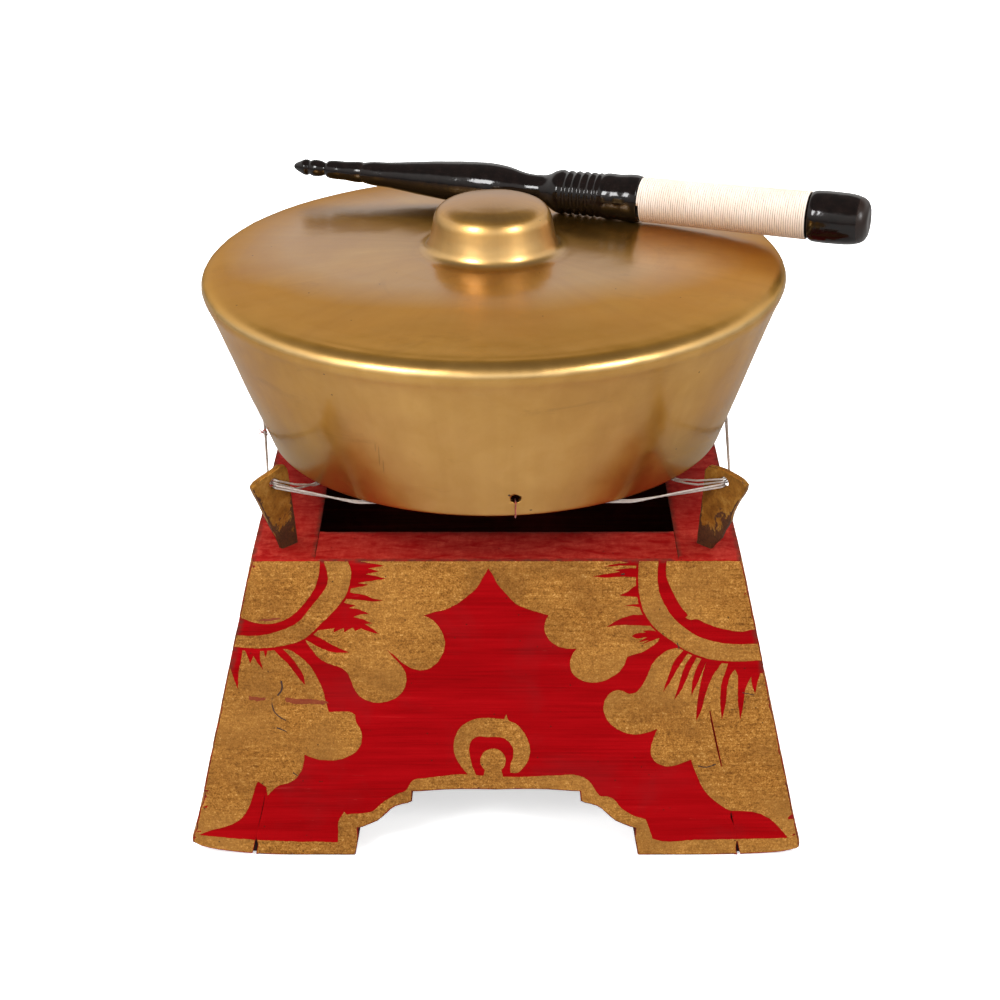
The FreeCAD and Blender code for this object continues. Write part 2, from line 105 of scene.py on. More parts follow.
ARCH = [(71.5, -1.0), (70.4, 5.0), (69.5, 10.0), (69.8, 14.6), (67.4, 15.2),
        (64.0, 16.6), (60.0, 18.4), (57.5, 20.4), (55.2, 22.6), (53.0, 24.8),
        (50.5, 26.4), (47.0, 27.5), (44.5, 28.0), (42.3, 29.0), (42.0, 34.2),
        (38.0, 34.3), (33.0, 34.7), (26.0, 35.2), (18.0, 35.4), (9.0, 35.4),
        (0.0, 35.2)]
PEG_A = [(150.2, 150.0), (152.0, 155.3), (155.3, 162.5), (159.5, 172.2),
         (161.7, 177.9), (164.0, 182.9), (165.8, 187.5), (166.1, 188.6),
         (164.6, 189.8), (159.3, 191.6), (152.5, 193.2), (148.7, 194.4),
         (145.6, 193.6), (144.4, 191.3), (143.6, 186.5), (142.6, 175.5),
         (141.3, 163.0), (140.2, 150.0)]
PEG_B = [(150.6, 150.0), (151.4, 151.6), (155.8, 157.3), (157.1, 160.9),
         (161.2, 169.5), (161.8, 172.4), (164.7, 179.5), (169.1, 188.3),
         (169.6, 190.8), (167.3, 192.3), (160.3, 193.9), (152.7, 194.4),
         (146.5, 193.6), (144.2, 191.1), (143.9, 185.4), (143.3, 175.1),
         (142.4, 164.5), (141.3, 150.0)]
HOLE_A = (153.0, 186.5)
HOLE_B = (156.3, 188.3)
CORNERS = {
    "front_left": (-1, -1, PEG_A, HOLE_A),
    "front_right": (1, -1, PEG_B, HOLE_B),
    "rear_left": (-1, 1, PEG_B, HOLE_B),
    "rear_right": (1, 1, PEG_A, HOLE_A),
}
GONG_OUT = [(120.0, 174.9), (LIP_R + WALL_SLOPE * 26, 200.0),
            (LIP_R + WALL_SLOPE * 56, 230.0), (148.0, 251.4), (149.5, 254.7),
            (149.9, 257.2), (149.3, 259.7), (147.7, 261.8), (145.0, 263.2),
            (141.0, 264.0), (132.0, 264.9), (120.0, 265.9), (100.0, 267.2),
            (80.0, 268.2), (60.0, 269.0), (44.0, 269.4), (37.0, 269.7),
            (34.8, 270.5), (33.4, 272.3), (32.5, 275.0), (31.5, 279.0),
            (30.7, 283.0), (29.9, 286.4), (28.4, 289.2), (26.0, 291.4),
            (22.6, 292.9), (17.5, 294.0), (11.0, 294.9), (5.0, 295.4),
            (0.0, 295.6)]
STICK = [(0.0, 0.6), (0.6, 1.5), (2.0, 2.4), (4.0, 3.3), (5.8, 4.1),
         (7.3, 4.5), (8.6, 4.3), (9.6, 3.55), (10.4, 4.0), (12.0, 4.6),
         (14.0, 4.7), (17.0, 4.2), (19.2, 3.4), (20.2, 3.4), (20.7, 4.4),
         (21.8, 4.9), (24.0, 5.15), (31.0, 5.2), (41.3, 5.65), (42.5, 5.48),
         (43.7, 5.80), (59.0, 7.1), (75.6, 9.0), (90.0, 10.4), (100.0, 11.2),
         (110.6, 11.75), (118.0, 11.8), (122.5, 11.5), (127.0, 10.9),
         (131.0, 9.9), (135.0, 8.8), (139.0, 8.1), (145.0, 7.9), (149.5, 8.3),
         (152.5, 9.4), (155.0, 10.8), (157.0, 11.5),
         (159.3, 11.75), (161.6, 10.9), (163.5, 11.75), (165.8, 10.9),
         (167.7, 11.8), (170.0, 10.95), (171.9, 11.85), (174.2, 11.0),
         (176.1, 11.9), (178.3, 11.1), (179.9, 11.8), (181.2, 11.3),
         (182.6, 11.8), (190.0, 12.0), (201.6, 12.3), (202.7, 12.0)]
WRAP_S0, WRAP_S1 = 203.0, 293.4
WRAP_R0, WRAP_R1 = 11.85, 12.70
CAP = [(294.2, 12.5), (295.4, 13.0), (299.5, 13.35), (307.0, 13.4),
       (313.5, 13.15), (317.8, 12.5), (320.8, 11.4), (322.4, 10.2),
       (323.3, 8.8), (323.6, 0.0)]
MAL_P1 = (-8.2, 72.6)
MAL_P2 = (78.8, 41.1)
MAL_S1, MAL_R1 = 111.5, 11.78
MAL_S2, MAL_R2 = 201.6, 12.3
MALLET_GAP = 0.38


# ------------------------------------------------------------------ mesh helpers
def new_mesh(name, verts, faces, mats, mat_idx=None, smooth=True, attrs=None,
             sharp_deg=None, weld=0.0):
    """A mesh object from points in mm about the footprint's centre."""
    me = bpy.data.meshes.new(name)
    me.from_pydata([world(p) for p in verts], [], faces)
    for m in mats:
        me.materials.append(m)
    if mat_idx is not None:
        me.polygons.foreach_set("material_index", mat_idx)
    if attrs:
        for key, vals in attrs.items():
            a = me.attributes.new(key, "FLOAT", "POINT")
            a.data.foreach_set("value", vals)
    me.polygons.foreach_set("use_smooth", [smooth] * len(me.polygons))
    me.update()
    me.validate(clean_customdata=False)
    if sharp_deg is not None:
        me.set_sharp_from_angle(angle=math.radians(sharp_deg))
    ob = bpy.data.objects.new(name, me)
    bpy.context.scene.collection.objects.link(ob)
    return ob


def hermite(points, step, closed=True, sharp=48.0):
    """Smooth curve through 2-D points; turns above 'sharp' degrees stay corners."""
    P = [Vector(p) for p in points]
    n = len(P)

    def direction(i, side):
        prv = P[(i - 1) % n] if (closed or i > 0) else None
        nxt = P[(i + 1) % n] if (closed or i < n - 1) else None
        if prv is None:
            return (nxt - P[i]).normalized()
        if nxt is None:
            return (P[i] - prv).normalized()
        a, b = (P[i] - prv), (nxt - P[i])
        if a.length < 1e-6:
            return b.normalized()
        if b.length < 1e-6:
            return a.normalized()
        if math.degrees(a.angle(b)) > sharp:
            return b.normalized() if side > 0 else a.normalized()
        w = a.normalized() * b.length + b.normalized() * a.length
        return w.normalized()

    out = []
    for i in range(n if closed else n - 1):
        p, q = P[i], P[(i + 1) % n]
        L = (q - p).length
        if L < 1e-6:
            continue
        t0, t1 = direction(i, 1) * L, direction((i + 1) % n, -1) * L
        m = max(1, int(math.ceil(L / step)))
        for k in range(m):
            t = k / m
            out.append(p * (2 * t ** 3 - 3 * t * t + 1) + t0 * (t ** 3 - 2 * t * t + t)
                       + q * (-2 * t ** 3 + 3 * t * t) + t1 * (t ** 3 - t * t))
    if not closed:
        out.append(P[-1])
    return out


def inside(pts, poly):
    """Even-odd test of many points against one polygon, with numpy."""
    P = np.asarray(pts, float)
    Q = np.asarray([(p[0], p[1]) for p in poly], float)
    lo, hi = Q.min(0), Q.max(0)
    res = np.zeros(len(P), bool)
    sel = np.where((P[:, 0] >= lo[0]) & (P[:, 0] <= hi[0])
                   & (P[:, 1] >= lo[1]) & (P[:, 1] <= hi[1]))[0]
    if not len(sel):
        return res
    p = P[sel]
    x0, y0 = Q[:, 0], Q[:, 1]
    x1, y1 = np.roll(x0, -1), np.roll(y0, -1)
    for k in range(0, len(p), 4000):
        px, py = p[k:k + 4000, 0][:, None], p[k:k + 4000, 1][:, None]
        c = (y0 > py) != (y1 > py)
        with np.errstate(divide="ignore", invalid="ignore"):
            xi = (x1 - x0) * (py - y0) / (y1 - y0) + x0
        res[sel[k:k + 4000]] = ((c & (px < xi)).sum(1) % 2) == 1
    return res


def grid_points(poly, step, jitter=0.25):
    """Staggered points inside a polygon, kept off its outline."""
    xs = [p[0] for p in poly]
    ys = [p[1] for p in poly]
    pts = []
    y, row = min(ys) + step / 2, 0
    while y < max(ys):
        x = min(xs) + step / 2 + (step / 2 if row % 2 else 0)
        while x < max(xs):
            pts.append((x + (RNG.random() - .5) * step * jitter,
                        y + (RNG.random() - .5) * step * jitter))
            x += step
        y += step * 0.866
        row += 1
    if not pts:
        return []
    keep = inside(pts, poly)
    pts = np.array(pts)[keep]
    if not len(pts):
        return []
    Q = np.array([(p[0], p[1]) for p in poly])
    ok = []
    for k in range(0, len(pts), 500):
        d = np.sqrt(((pts[k:k + 500, None, :] - Q[None, :, :]) ** 2).sum(2)).min(1)
        ok.append(d > step * 0.45)
    ok = np.concatenate(ok)
    return [tuple(p) for p in pts[ok]]


def edge_rows(poly, dists, every=2):
    """Rows of points just inside an outline, so that surfaces follow worn rims."""
    D = inset_dirs(poly)
    out = []
    n = len(poly)
    for d in dists:
        row = [(poly[i][0] + D[i].x * d, poly[i][1] + D[i].y * d) for i in range(0, n, every)
               if abs(poly[i][0]) > 84]
        if not row:
            continue
        keep = inside(row, poly)
        out += [p for p, k in zip(row, keep) if k]
    return out


def triangulate(loops, extra=()):
    """Triangles between 2-D loops (all as constraints) and extra points.
    Returns (points, triangles, for each input loop the output index of its points)."""
    co, edges = [], []
    spans = []
    for lp in loops:
        b = len(co)
        n = len(lp)
        co += [Vector((p[0], p[1])) for p in lp]
        edges += [(b + i, b + (i + 1) % n) for i in range(n)]
        spans.append((b, n))
    b = len(co)
    co += [Vector((p[0], p[1])) for p in extra]
    res = delaunay_2d_cdt(co, edges, [], 0, 1e-5, True)
    pts, tris, orig = res[0], res[2], res[3]
    back = {}
    for i, src in enumerate(orig):
        for s in src:
            back[s] = i
    maps = [[back[b0 + i] for i in range(n)] for b0, n in spans]
    return pts, tris, maps


def inset_dirs(lp, limit=1.8):
    """Inward mitre vectors of a counter-clockwise 2-D loop."""
    n = len(lp)
    out = []
    for i in range(n):
        p, a, b = Vector(lp[i]), Vector(lp[i - 1]), Vector(lp[(i + 1) % n])
        e1, e2 = (p - a), (b - p)
        if e1.length < 1e-9:
            e1 = e2
        if e2.length < 1e-9:
            e2 = e1
        e1.normalize()
        e2.normalize()
        n1, n2 = Vector((-e1.y, e1.x)), Vector((-e2.y, e2.x))
        m = n1 + n2
        if m.length < 1e-6:
            m = n1
        m.normalize()
        c = max(m.dot(n1), 1.0 / limit)
        out.append(m / c)
    return out


def area2(lp):
    n = len(lp)
    return sum(lp[i][0] * lp[(i + 1) % n][1] - lp[(i + 1) % n][0] * lp[i][1] for i in range(n))


def slab(loops_a, loops_b, pos_a, pos_b, r_of, grid=5.0, across=4, segs=3):
    """Closed solid between matched 2-D loops on two faces, with rounded rims.
    loops_x[0] is the outline (counter-clockwise), the rest are holes (clockwise).
    pos_x maps a 2-D point of that face to 3-D. Returns verts, faces, kind, wear;
    kind is 0 face a, 1 face b, 2 wall."""
    verts, faces, kind, wear_and_groove_shade = [], [], [], []

    def add(p, w):
        verts.append(p)
        wear_and_groove_shade.append(w)
        return len(verts) - 1

    rims = []
    for li, (la, lb) in enumerate(zip(loops_a, loops_b)):
        n = len(la)
        da, db = inset_dirs(la), inset_dirs(lb)
        A = [pos_a(p) for p in la]
        B = [pos_b(p) for p in lb]
        radii2 = ([r_of(A[i], li, 0) for i in range(n)], [r_of(B[i], li, 1) for i in range(n)])
        rings = []
        # from face a's inner ring, round the rim, across the wall, to face b's
        for side in (0, 1):
            L, D, pos = (la, da, pos_a) if side == 0 else (lb, db, pos_b)
            base = A if side == 0 else B
            other = B if side == 0 else A
            radii = radii2[side]
            sub = []
            for k in range(segs + 1):
                th = math.pi / 2 * k / segs
                inn, dep = 1 - math.sin(th), 1 - math.cos(th)
                row = []
                for i in range(n):
                    r = radii[i]
                    q = Vector(L[i]) + D[i] * (r * inn)
                    p3 = pos((q.x, q.y))
                    dirv = (other[i] - base[i]).normalized()
                    ww = 1.0 if 0 < k < segs else 0.62
                    row.append(add(p3 + dirv * (r * dep), ww * min(1.0, max(0.0, (r - 0.15) / 0.4))))
                sub.append(row)
            if side == 0:
                front = sub
            else:
                backr = sub
        mid = []
        for k in range(1, across):
            t = k / across
            row = []
            for i in range(n):
                p0, p1 = verts[front[-1][i]], verts[backr[-1][i]]
                row.append(add(p0.lerp(p1, t), 0.0))
            mid.append(row)
        rings = front + mid + list(reversed(backr))
        for a, b in zip(rings[:-1], rings[1:]):
            for i in range(n):
                j = (i + 1) % n
                faces.append((a[i], b[i], b[j], a[j]))
                kind.append(2)
        nf = len(front) - 1
        # the rim quads nearest each face take that face's kind
        base_f = len(faces) - n * (len(rings) - 1)
        for k in range(nf):
            for i in range(n):
                kind[base_f + k * n + i] = 0 if k < nf - 1 else 2
        for k in range(nf):
            for i in range(n):
                kind[base_f + (len(rings) - 2 - k) * n + i] = 1 if k < nf - 1 else 2
        rims.append((front[0], backr[0], la, da, lb, db, radii2))
    for side in (0, 1):
        loops2, idx = [], []
        for fr, br, la, da, lb, db, radii in rims:
            L, D, ids = (la, da, fr) if side == 0 else (lb, db, br)
            rr = radii[side]
            loops2.append([tuple(Vector(L[i]) + D[i] * rr[i]) for i in range(len(L))])
            idx.append(ids)
        extra = grid_points(loops2[0], grid)
        if grid > 4:
            extra = list(extra) + edge_rows(loops2[0], (1.3, 2.8, 4.6))
        if len(loops2) > 1 and extra:
            keep = np.ones(len(extra), bool)
            for h in loops2[1:]:
                keep &= ~inside(extra, h)
            extra = [e for e, k in zip(extra, keep) if k]
        pts, tris, maps = triangulate(loops2, extra)
        glob = {}
        for m, ids in zip(maps, idx):
            for o, g in zip(m, ids):
                glob[o] = g
        cen = [((pts[a][0] + pts[b][0] + pts[c][0]) / 3, (pts[a][1] + pts[b][1] + pts[c][1]) / 3)
               for a, b, c in tris]
        ok = inside(cen, loops2[0])
        for h in loops2[1:]:
            ok &= ~inside(cen, h)
        pos = pos_a if side == 0 else pos_b
        for good, t in zip(ok, tris):
            if not good:
                continue
            ids = []
            for o in t:
                if o not in glob:
                    glob[o] = add(pos((pts[o][0], pts[o][1])), 0.0)
                ids.append(glob[o])
            if len(set(ids)) < 3:
                continue
            faces.append(tuple(ids) if side == 0 else tuple(reversed(ids)))
            kind.append(side)
    return verts, faces, kind, wear_and_groove_shade


def g2w(p):
    t = math.radians(GONG_TILT)
    x, z = p.x - GONG_X, p.z - TILT_Z
    return V(x * math.cos(t) + z * math.sin(t) + GONG_X, p.y,
             -x * math.sin(t) + z * math.cos(t) + TILT_Z)


# ------------------------------------------------------------------ node helpers
class Mat:
    """Small helper that keeps a material's node building readable."""

    def __init__(self, name):
        self.m = bpy.data.materials.new(name)
        self.m.use_nodes = True
        self.t = self.m.node_tree
        self.t.nodes.clear()
        self.out = self.t.nodes.new("ShaderNodeOutputMaterial")
        self.bsdf = self.n("ShaderNodeBsdfPrincipled")
        self.link(self.bsdf, 0, self.out, 0)
        self.coord = self.n("ShaderNodeTexCoord")

    def n(self, kind, **kw):
        nd = self.t.nodes.new(kind)
        for k, v in kw.items():
            setattr(nd, k, v)
        return nd

    def link(self, a, ao, b, bi):
        self.t.links.new(a.outputs[ao], b.inputs[bi])

    def put(self, node, key, val):
        if hasattr(val, "outputs"):
            self.t.links.new(val.outputs[0], node.inputs[key])
        elif isinstance(val, tuple) and len(val) == 2 and hasattr(val[0], "outputs"):
            self.t.links.new(val[0].outputs[val[1]], node.inputs[key])
        else:
            node.inputs[key].default_value = val

    def set(self, **kw):
        names = {"base": "Base Color", "rough": "Roughness", "metal": "Metallic",
                 "coat": "Coat Weight", "coat_rough": "Coat Roughness", "ior": "IOR",
                 "normal": "Normal", "sss": "Subsurface Weight", "spec": "Specular IOR Level",
                 "sheen": "Sheen Weight", "sheen_rough": "Sheen Roughness", "trans": "Transmission Weight",
                 "coat_normal": "Coat Normal", "coat_ior": "Coat IOR", "aniso": "Anisotropic",
                 "sss_rad": "Subsurface Radius", "sss_scale": "Subsurface Scale", "coat_tint": "Coat Tint"}
        for k, v in kw.items():
            self.put(self.bsdf, names[k], v)

    def scaled(self, sx, sy, sz, rot=(0, 0, 0), src=None):
        mp = self.n("ShaderNodeMapping")
        mp.inputs["Scale"].default_value = (sx, sy, sz)
        mp.inputs["Rotation"].default_value = rot
        self.put(mp, "Vector", src if src is not None else (self.coord, "Object"))
        return mp

    def noise(self, vec, scale=5.0, detail=3.0, rough=0.5, dist=0.0):
        nd = self.n("ShaderNodeTexNoise")
        nd.inputs["Scale"].default_value = scale
        nd.inputs["Detail"].default_value = detail
        nd.inputs["Roughness"].default_value = rough
        nd.inputs["Distortion"].default_value = dist
        self.put(nd, "Vector", vec)
        return nd

    def voronoi(self, vec, scale=5.0, feature="F1", rnd=1.0):
        nd = self.n("ShaderNodeTexVoronoi", feature=feature)
        nd.inputs["Scale"].default_value = scale
        nd.inputs["Randomness"].default_value = rnd
        self.put(nd, "Vector", vec)
        return nd

    def ramp(self, fac, stops, interp="LINEAR"):
        nd = self.n("ShaderNodeValToRGB")
        cr = nd.color_ramp
        cr.interpolation = interp
        while len(cr.elements) < len(stops):
            cr.elements.new(0.5)
        for e, (pos, col) in zip(cr.elements, stops):
            e.position = pos
            e.color = (col, col, col, 1) if isinstance(col, (int, float)) else (*col, 1)
        self.put(nd, "Fac", fac)
        return nd

    def mix(self, fac, a, b, mode="MIX"):
        nd = self.n("ShaderNodeMix", data_type="RGBA", blend_type=mode)
        self.put(nd, 0, fac)
        for key, val in ((6, a), (7, b)):
            if isinstance(val, tuple) and len(val) == 3 and not hasattr(val[0], "outputs"):
                val = (*val, 1.0)
            if isinstance(val, tuple) and len(val) == 4:
                nd.inputs[key].default_value = val
            else:
                self.put(nd, key, val)
        return (nd, 2)

    def math(self, op, a, b=None, clamp=False):
        nd = self.n("ShaderNodeMath", operation=op, use_clamp=clamp)
        self.put(nd, 0, a)
        if b is not None:
            self.put(nd, 1, b)
        return nd

    def bump(self, height, strength=0.2, dist=0.001, normal=None):
        nd = self.n("ShaderNodeBump")
        nd.inputs["Strength"].default_value = strength
        nd.inputs["Distance"].default_value = dist
        self.put(nd, "Height", height)
        if normal is not None:
            self.put(nd, "Normal", normal)
        return nd

    def attr(self, name):
        nd = self.n("ShaderNodeAttribute", attribute_name=name, attribute_type="GEOMETRY")
        return (nd, "Fac")


# ------------------------------------------------------------------ materials
def red_paint(name, inner=False):
    M = Mat(name)
    streak = M.noise(M.scaled(22, 22, 950), 1.0, 4, 0.62, 0.25)
    wide = M.noise(M.scaled(9, 9, 130), 1.0, 3, 0.55, 0.4)
    patch = M.noise(M.scaled(26, 26, 26), 1.0, 4, 0.55, 0.3)
    fine = M.noise(M.scaled(900, 900, 1500), 1.0, 2, 0.6)
    s1 = M.ramp(streak, [(0.28, 0.0), (0.72, 1.0)])
    s2 = M.ramp(wide, [(0.3, 0.0), (0.7, 1.0)])
    fac = M.math("ADD", M.math("MULTIPLY", s1, 0.55), M.math("MULTIPLY", s2, 0.45))
    # inner: a near-black copy of the red paint for faces inside the stand, painted shade
    if inner:
        base = M.ramp(fac, [(0.0, (0.030, 0.0055, 0.0030)), (0.55, (0.060, 0.0090, 0.0050)), (1.0, (0.120, 0.014, 0.008))])
    else:
        base = M.ramp(fac, [(0.0, (0.165, 0.0006, 0.0014)), (0.45, (0.250, 0.0009, 0.0024)),
                            (0.8, (0.310, 0.0018, 0.0038)), (1.0, (0.40, 0.012, 0.013))])
    # darker, drier patches
    dry = M.ramp(patch, [(0.52, 0.0), (0.78, 0.42)])
    col = M.mix(dry, (base, 0), (0.16, 0.010, 0.012))
    # faint pale scuffs along the brush direction
    sc = M.noise(M.scaled(38, 38, 620, (0.0, 0.05, 0.0)), 1.0, 5, 0.72, 0.6)
    scm = M.ramp(sc, [(0.665, 0.0), (0.72, 0.22)])
    col = M.mix(scm, col, (0.52, 0.085, 0.075))
    # upward faces: painted shade mixes them toward a darker red, and pale dust and scuffs lie over that
    geo = M.n("ShaderNodeNewGeometry")
    sep = M.n("ShaderNodeSeparateXYZ")
    M.link(geo, 1, sep, 0)
    up = M.ramp((sep, 2), [(0.80, 0.0), (0.95, 1.0)])
    d1 = M.noise(M.scaled(75, 170, 60, (0, 0, 0.5)), 1.0, 6, 0.70, 0.9)
    d2 = M.noise(M.scaled(420, 160, 100, (0, 0, -0.4)), 1.0, 5, 0.75, 0.4)
    dust = M.math("MULTIPLY", M.ramp(d1, [(0.36, 0.0), (0.66, 1.0)]), M.ramp(d2, [(0.28, 0.25), (0.62, 1.0)]))
    dust = M.math("MULTIPLY", dust, up)
    dust = M.math("MULTIPLY", dust, 0.60)
    # painted shade: the top colour darkens faces that point upward
    top = M.mix(M.math("MULTIPLY", up, 0.80), col, (0.205, 0.0028, 0.0028))
    col = M.mix(dust, top, (0.50, 0.066, 0.042))
    # small dark specks
    sp = M.voronoi(M.scaled(150, 150, 150), 1.0)
    spm = M.ramp(sp, [(0.045, 0.75), (0.075, 0.0)])
    col = M.mix(spm, col, (0.05, 0.008, 0.006))
    # worn rims show dark old wood
    w = M.attr("wear_and_groove_shade")
    wn = M.noise(M.scaled(160, 160, 160), 1.0, 5, 0.7)
    wm = M.math("MULTIPLY", M.ramp(w, [(0.30, 0.0), (0.62, 1.0)]), M.ramp(wn, [(0.38, 0.25), (0.58, 1.0)]))
    col = M.mix(M.math("MULTIPLY", wm, 0.85), col, (0.070, 0.022, 0.014))
    rough = M.ramp(fac, [(0.0, 0.46), (1.0, 0.62)])
    h = M.math("ADD", M.math("MULTIPLY", streak, 0.7), M.math("MULTIPLY", fine, 0.3))
    b = M.bump(h, 0.35, 0.00018)
    b = M.bump(M.noise(M.scaled(70, 70, 70), 1.0, 3, 0.5), 0.20, 0.0008, b)
    M.set(base=col, rough=rough, normal=b, spec=0.02)
    return M.m


def gilding(name, rubbed=0.0):
    M = Mat(name)
    grain = M.noise(M.scaled(1250, 1250, 1250), 1.0, 3, 0.75)
    grain2 = M.noise(M.scaled(400, 400, 520), 1.0, 4, 0.85)
    brush = M.noise(M.scaled(60, 60, 1000), 1.0, 4, 0.65, 0.3)
    patch = M.noise(M.scaled(34, 34, 46), 1.0, 5, 0.6, 0.4)
    f = M.math("ADD", M.math("MULTIPLY", grain, 0.42), M.math("MULTIPLY", grain2, 0.40))
    f = M.math("ADD", f, M.math("MULTIPLY", brush, 0.18))
    base = M.ramp(f, [(0.37, (0.085, 0.026, 0.0032)), (0.445, (0.215, 0.080, 0.0105)), (0.52, (0.390, 0.162, 0.0270)),
                      (0.58, (0.540, 0.262, 0.0580)), (0.67, (0.90, 0.58, 0.22))])
    pm = M.ramp(patch, [(0.42, 0.0), (0.72, 0.70)])
    col = M.mix(pm, (base, 0), (0.190, 0.072, 0.0120))
    light = M.ramp(M.noise(M.scaled(17, 17, 21), 1.0, 3, 0.5, 0.2), [(0.45, 0.0), (0.75, 0.32)])
    col = M.mix(light, col, (0.54, 0.265, 0.062))
    # thin places let the red ground through
    thin = M.noise(M.scaled(210, 210, 420), 1.0, 6, 0.78, 0.4)
    lo, hi = (0.66 - rubbed * 0.44, 0.74 - rubbed * 0.34)
    tm = M.ramp(thin, [(lo, 0.0), (hi, 0.85)])
    col = M.mix(tm, col, (0.17, 0.018, 0.009))
    spk = M.voronoi(M.scaled(125, 125, 125), 1.0)
    col = M.mix(M.ramp(spk, [(0.04, 0.8), (0.07, 0.0)]), col, (0.03, 0.012, 0.006))
    rough = M.ramp(grain, [(0.35, 0.62), (0.65, 0.36)])
    metal = M.math("MULTIPLY", M.math("SUBTRACT", 1.0, tm), 0.45)
    h = M.math("ADD", M.math("MULTIPLY", grain, 0.35), M.math("MULTIPLY", grain2, 0.65))
    b = M.bump(h, 0.75, 0.00045)
    M.set(base=col, rough=rough, metal=metal, normal=b, spec=0.2)
    return M.m


def dark_fill_material(name):
    M = Mat(name)
    nz = M.noise(M.scaled(120, 120, 900), 1.0, 4, 0.6)
    base = M.ramp(nz, [(0.35, (0.010, 0.005, 0.004)), (0.7, (0.045, 0.018, 0.012))])
    M.set(base=(base, 0), rough=0.85, normal=M.bump(nz, 0.4, 0.0003))
    return M.m


def bronze(name, inner=False):
    M = Mat(name)
    uv = M.n("ShaderNodeUVMap", uv_map="lathe")
    obj = (M.coord, "Object")
    # colour drifts in soft patches; the warmer face further down is a painted reflection
    p1 = M.noise(M.scaled(9, 9, 9, src=obj), 1.0, 4, 0.55, 0.6)
    p2 = M.noise(M.scaled(55, 55, 55, src=obj), 1.0, 5, 0.6, 0.3)
    f = M.math("ADD", M.math("MULTIPLY", p1, 0.65), M.math("MULTIPLY", p2, 0.35))
    base = M.ramp(f, [(0.34, (0.49, 0.235, 0.036)), (0.50, (0.60, 0.310, 0.060)), (0.66, (0.70, 0.390, 0.095))])
    # fine streaks across the rim and down the boss, and rings on the face
    rad = M.noise(M.scaled(420, 26, 1, src=(uv, 0)), 1.0, 4, 0.7, 0.1)
    rng = M.noise(M.scaled(5, 900, 1, src=(uv, 0)), 1.0, 3, 0.6, 0.15)
    vert = M.noise(M.scaled(60, 4, 1, src=(uv, 0)), 1.0, 3, 0.5, 0.3)
    streak = M.ramp(vert, [(0.40, 0.0), (0.72, 0.25)])
    col = M.mix(streak, (base, 0), (0.44, 0.20, 0.032))
    # thin smoky haze and old brown stains
    st = M.noise(M.scaled(23, 23, 60, src=obj), 1.0, 6, 0.68, 0.8)
    stm = M.ramp(st, [(0.60, 0.0), (0.80, 0.35)])
    col = M.mix(stm, col, (0.20, 0.085, 0.016))
    spk = M.voronoi(M.scaled(62, 62, 62, src=obj), 1.0)
    spm = M.ramp(spk, [(0.020, 0.9), (0.034, 0.0)])
    col = M.mix(spm, col, (0.05, 0.022, 0.008))
    if inner:
        col = M.mix(0.6, col, (0.16, 0.085, 0.03))
    if not inner:
        # darker, greener colour low on the wall toward the two sides: a painted reflection of the pegs and stand
        low = M.n("ShaderNodeSeparateXYZ")
        M.put(low, 0, obj)
        mid_x = world(V(0, 0, 0))[0]
        off = M.math("ABSOLUTE", M.math("SUBTRACT", (low, "X"), mid_x))
        side = M.ramp(off, [(0.048, 0.0), (0.085, 1.0)])
        down = M.ramp((low, "Z"), [(world(V(0, 0, 184))[2], 1.0), (world(V(0, 0, 216))[2], 0.0)])
        col = M.mix(M.math("MULTIPLY", M.math("MULTIPLY", (side, 0), (down, 0)), 0.55),
                    col, (0.27, 0.190, 0.055))
        # an old crease left of the middle and three pits beside the hole
        for (cx, cz, ax, az_, amt) in ((-55.4, 206.5, 0.45, 7.0, 0.30), (-53.6, 200.5, 0.40, 5.0, 0.26),
                                       (-57.0, 211.0, 0.40, 3.5, 0.24), (6.2, 187.6, 0.62, 0.62, 0.95),
                                       (7.4, 184.2, 0.55, 0.55, 0.9), (16.6, 177.4, 1.0, 0.62, 0.9)):
            cw = world(V(cx, 0, cz))
            dv = M.n("ShaderNodeVectorMath", operation="SUBTRACT")
            M.put(dv, 0, obj)
            dv.inputs[1].default_value = (cw[0], 0, cw[2])
            dm = M.n("ShaderNodeVectorMath", operation="MULTIPLY")
            M.put(dm, 0, (dv, 0))
            dm.inputs[1].default_value = (1000.0 / ax, 0.0, 1000.0 / az_)
            dl = M.n("ShaderNodeVectorMath", operation="LENGTH")
            M.put(dl, 0, (dm, 0))
            wob = M.math("ADD", (dl, "Value"), M.math("MULTIPLY", M.math("SUBTRACT", p2, 0.5), 1.6))
            m = M.ramp(wob, [(0.55, amt), (0.95, 0.0)])
            front = M.n("ShaderNodeSeparateXYZ")
            M.put(front, 0, obj)
            fm = M.math("LESS_THAN", (front, "Y"), world(V(0, -20, 0))[1])
            col = M.mix(M.math("MULTIPLY", (m, 0), fm), col, (0.045, 0.020, 0.006))
    # roughness: satin, polished where the streaks cross
    geo = M.n("ShaderNodeNewGeometry")
    sep = M.n("ShaderNodeSeparateXYZ")
    M.put(sep, 0, (geo, "Normal"))
    upw = M.ramp((sep, "Z"), [(0.02, 0.0), (0.34, 1.0)])
    rim = M.math("MULTIPLY", M.attr("polish_and_highlight"), (upw, 0))
    # painted highlight: the shoulder rim and boss edge are mixed toward pale yellow; the same mask also marks where the
    # metal is polished
    col = M.mix(M.math("MULTIPLY", rim, 0.75), col, (0.96, 0.68, 0.30))
    rbase = M.math("MULTIPLY", M.math("MULTIPLY", M.ramp(rad, [(0.3, 0.0), (0.7, 1.0)]), rim), 0.12)
    r2 = M.math("ADD", M.math("ADD", rbase, 0.36), M.math("MULTIPLY", M.ramp(p2, [(0.3, 0.0), (0.7, 1.0)]), 0.07))
    r3 = M.math("SUBTRACT", r2, M.math("MULTIPLY", rim, 0.08))
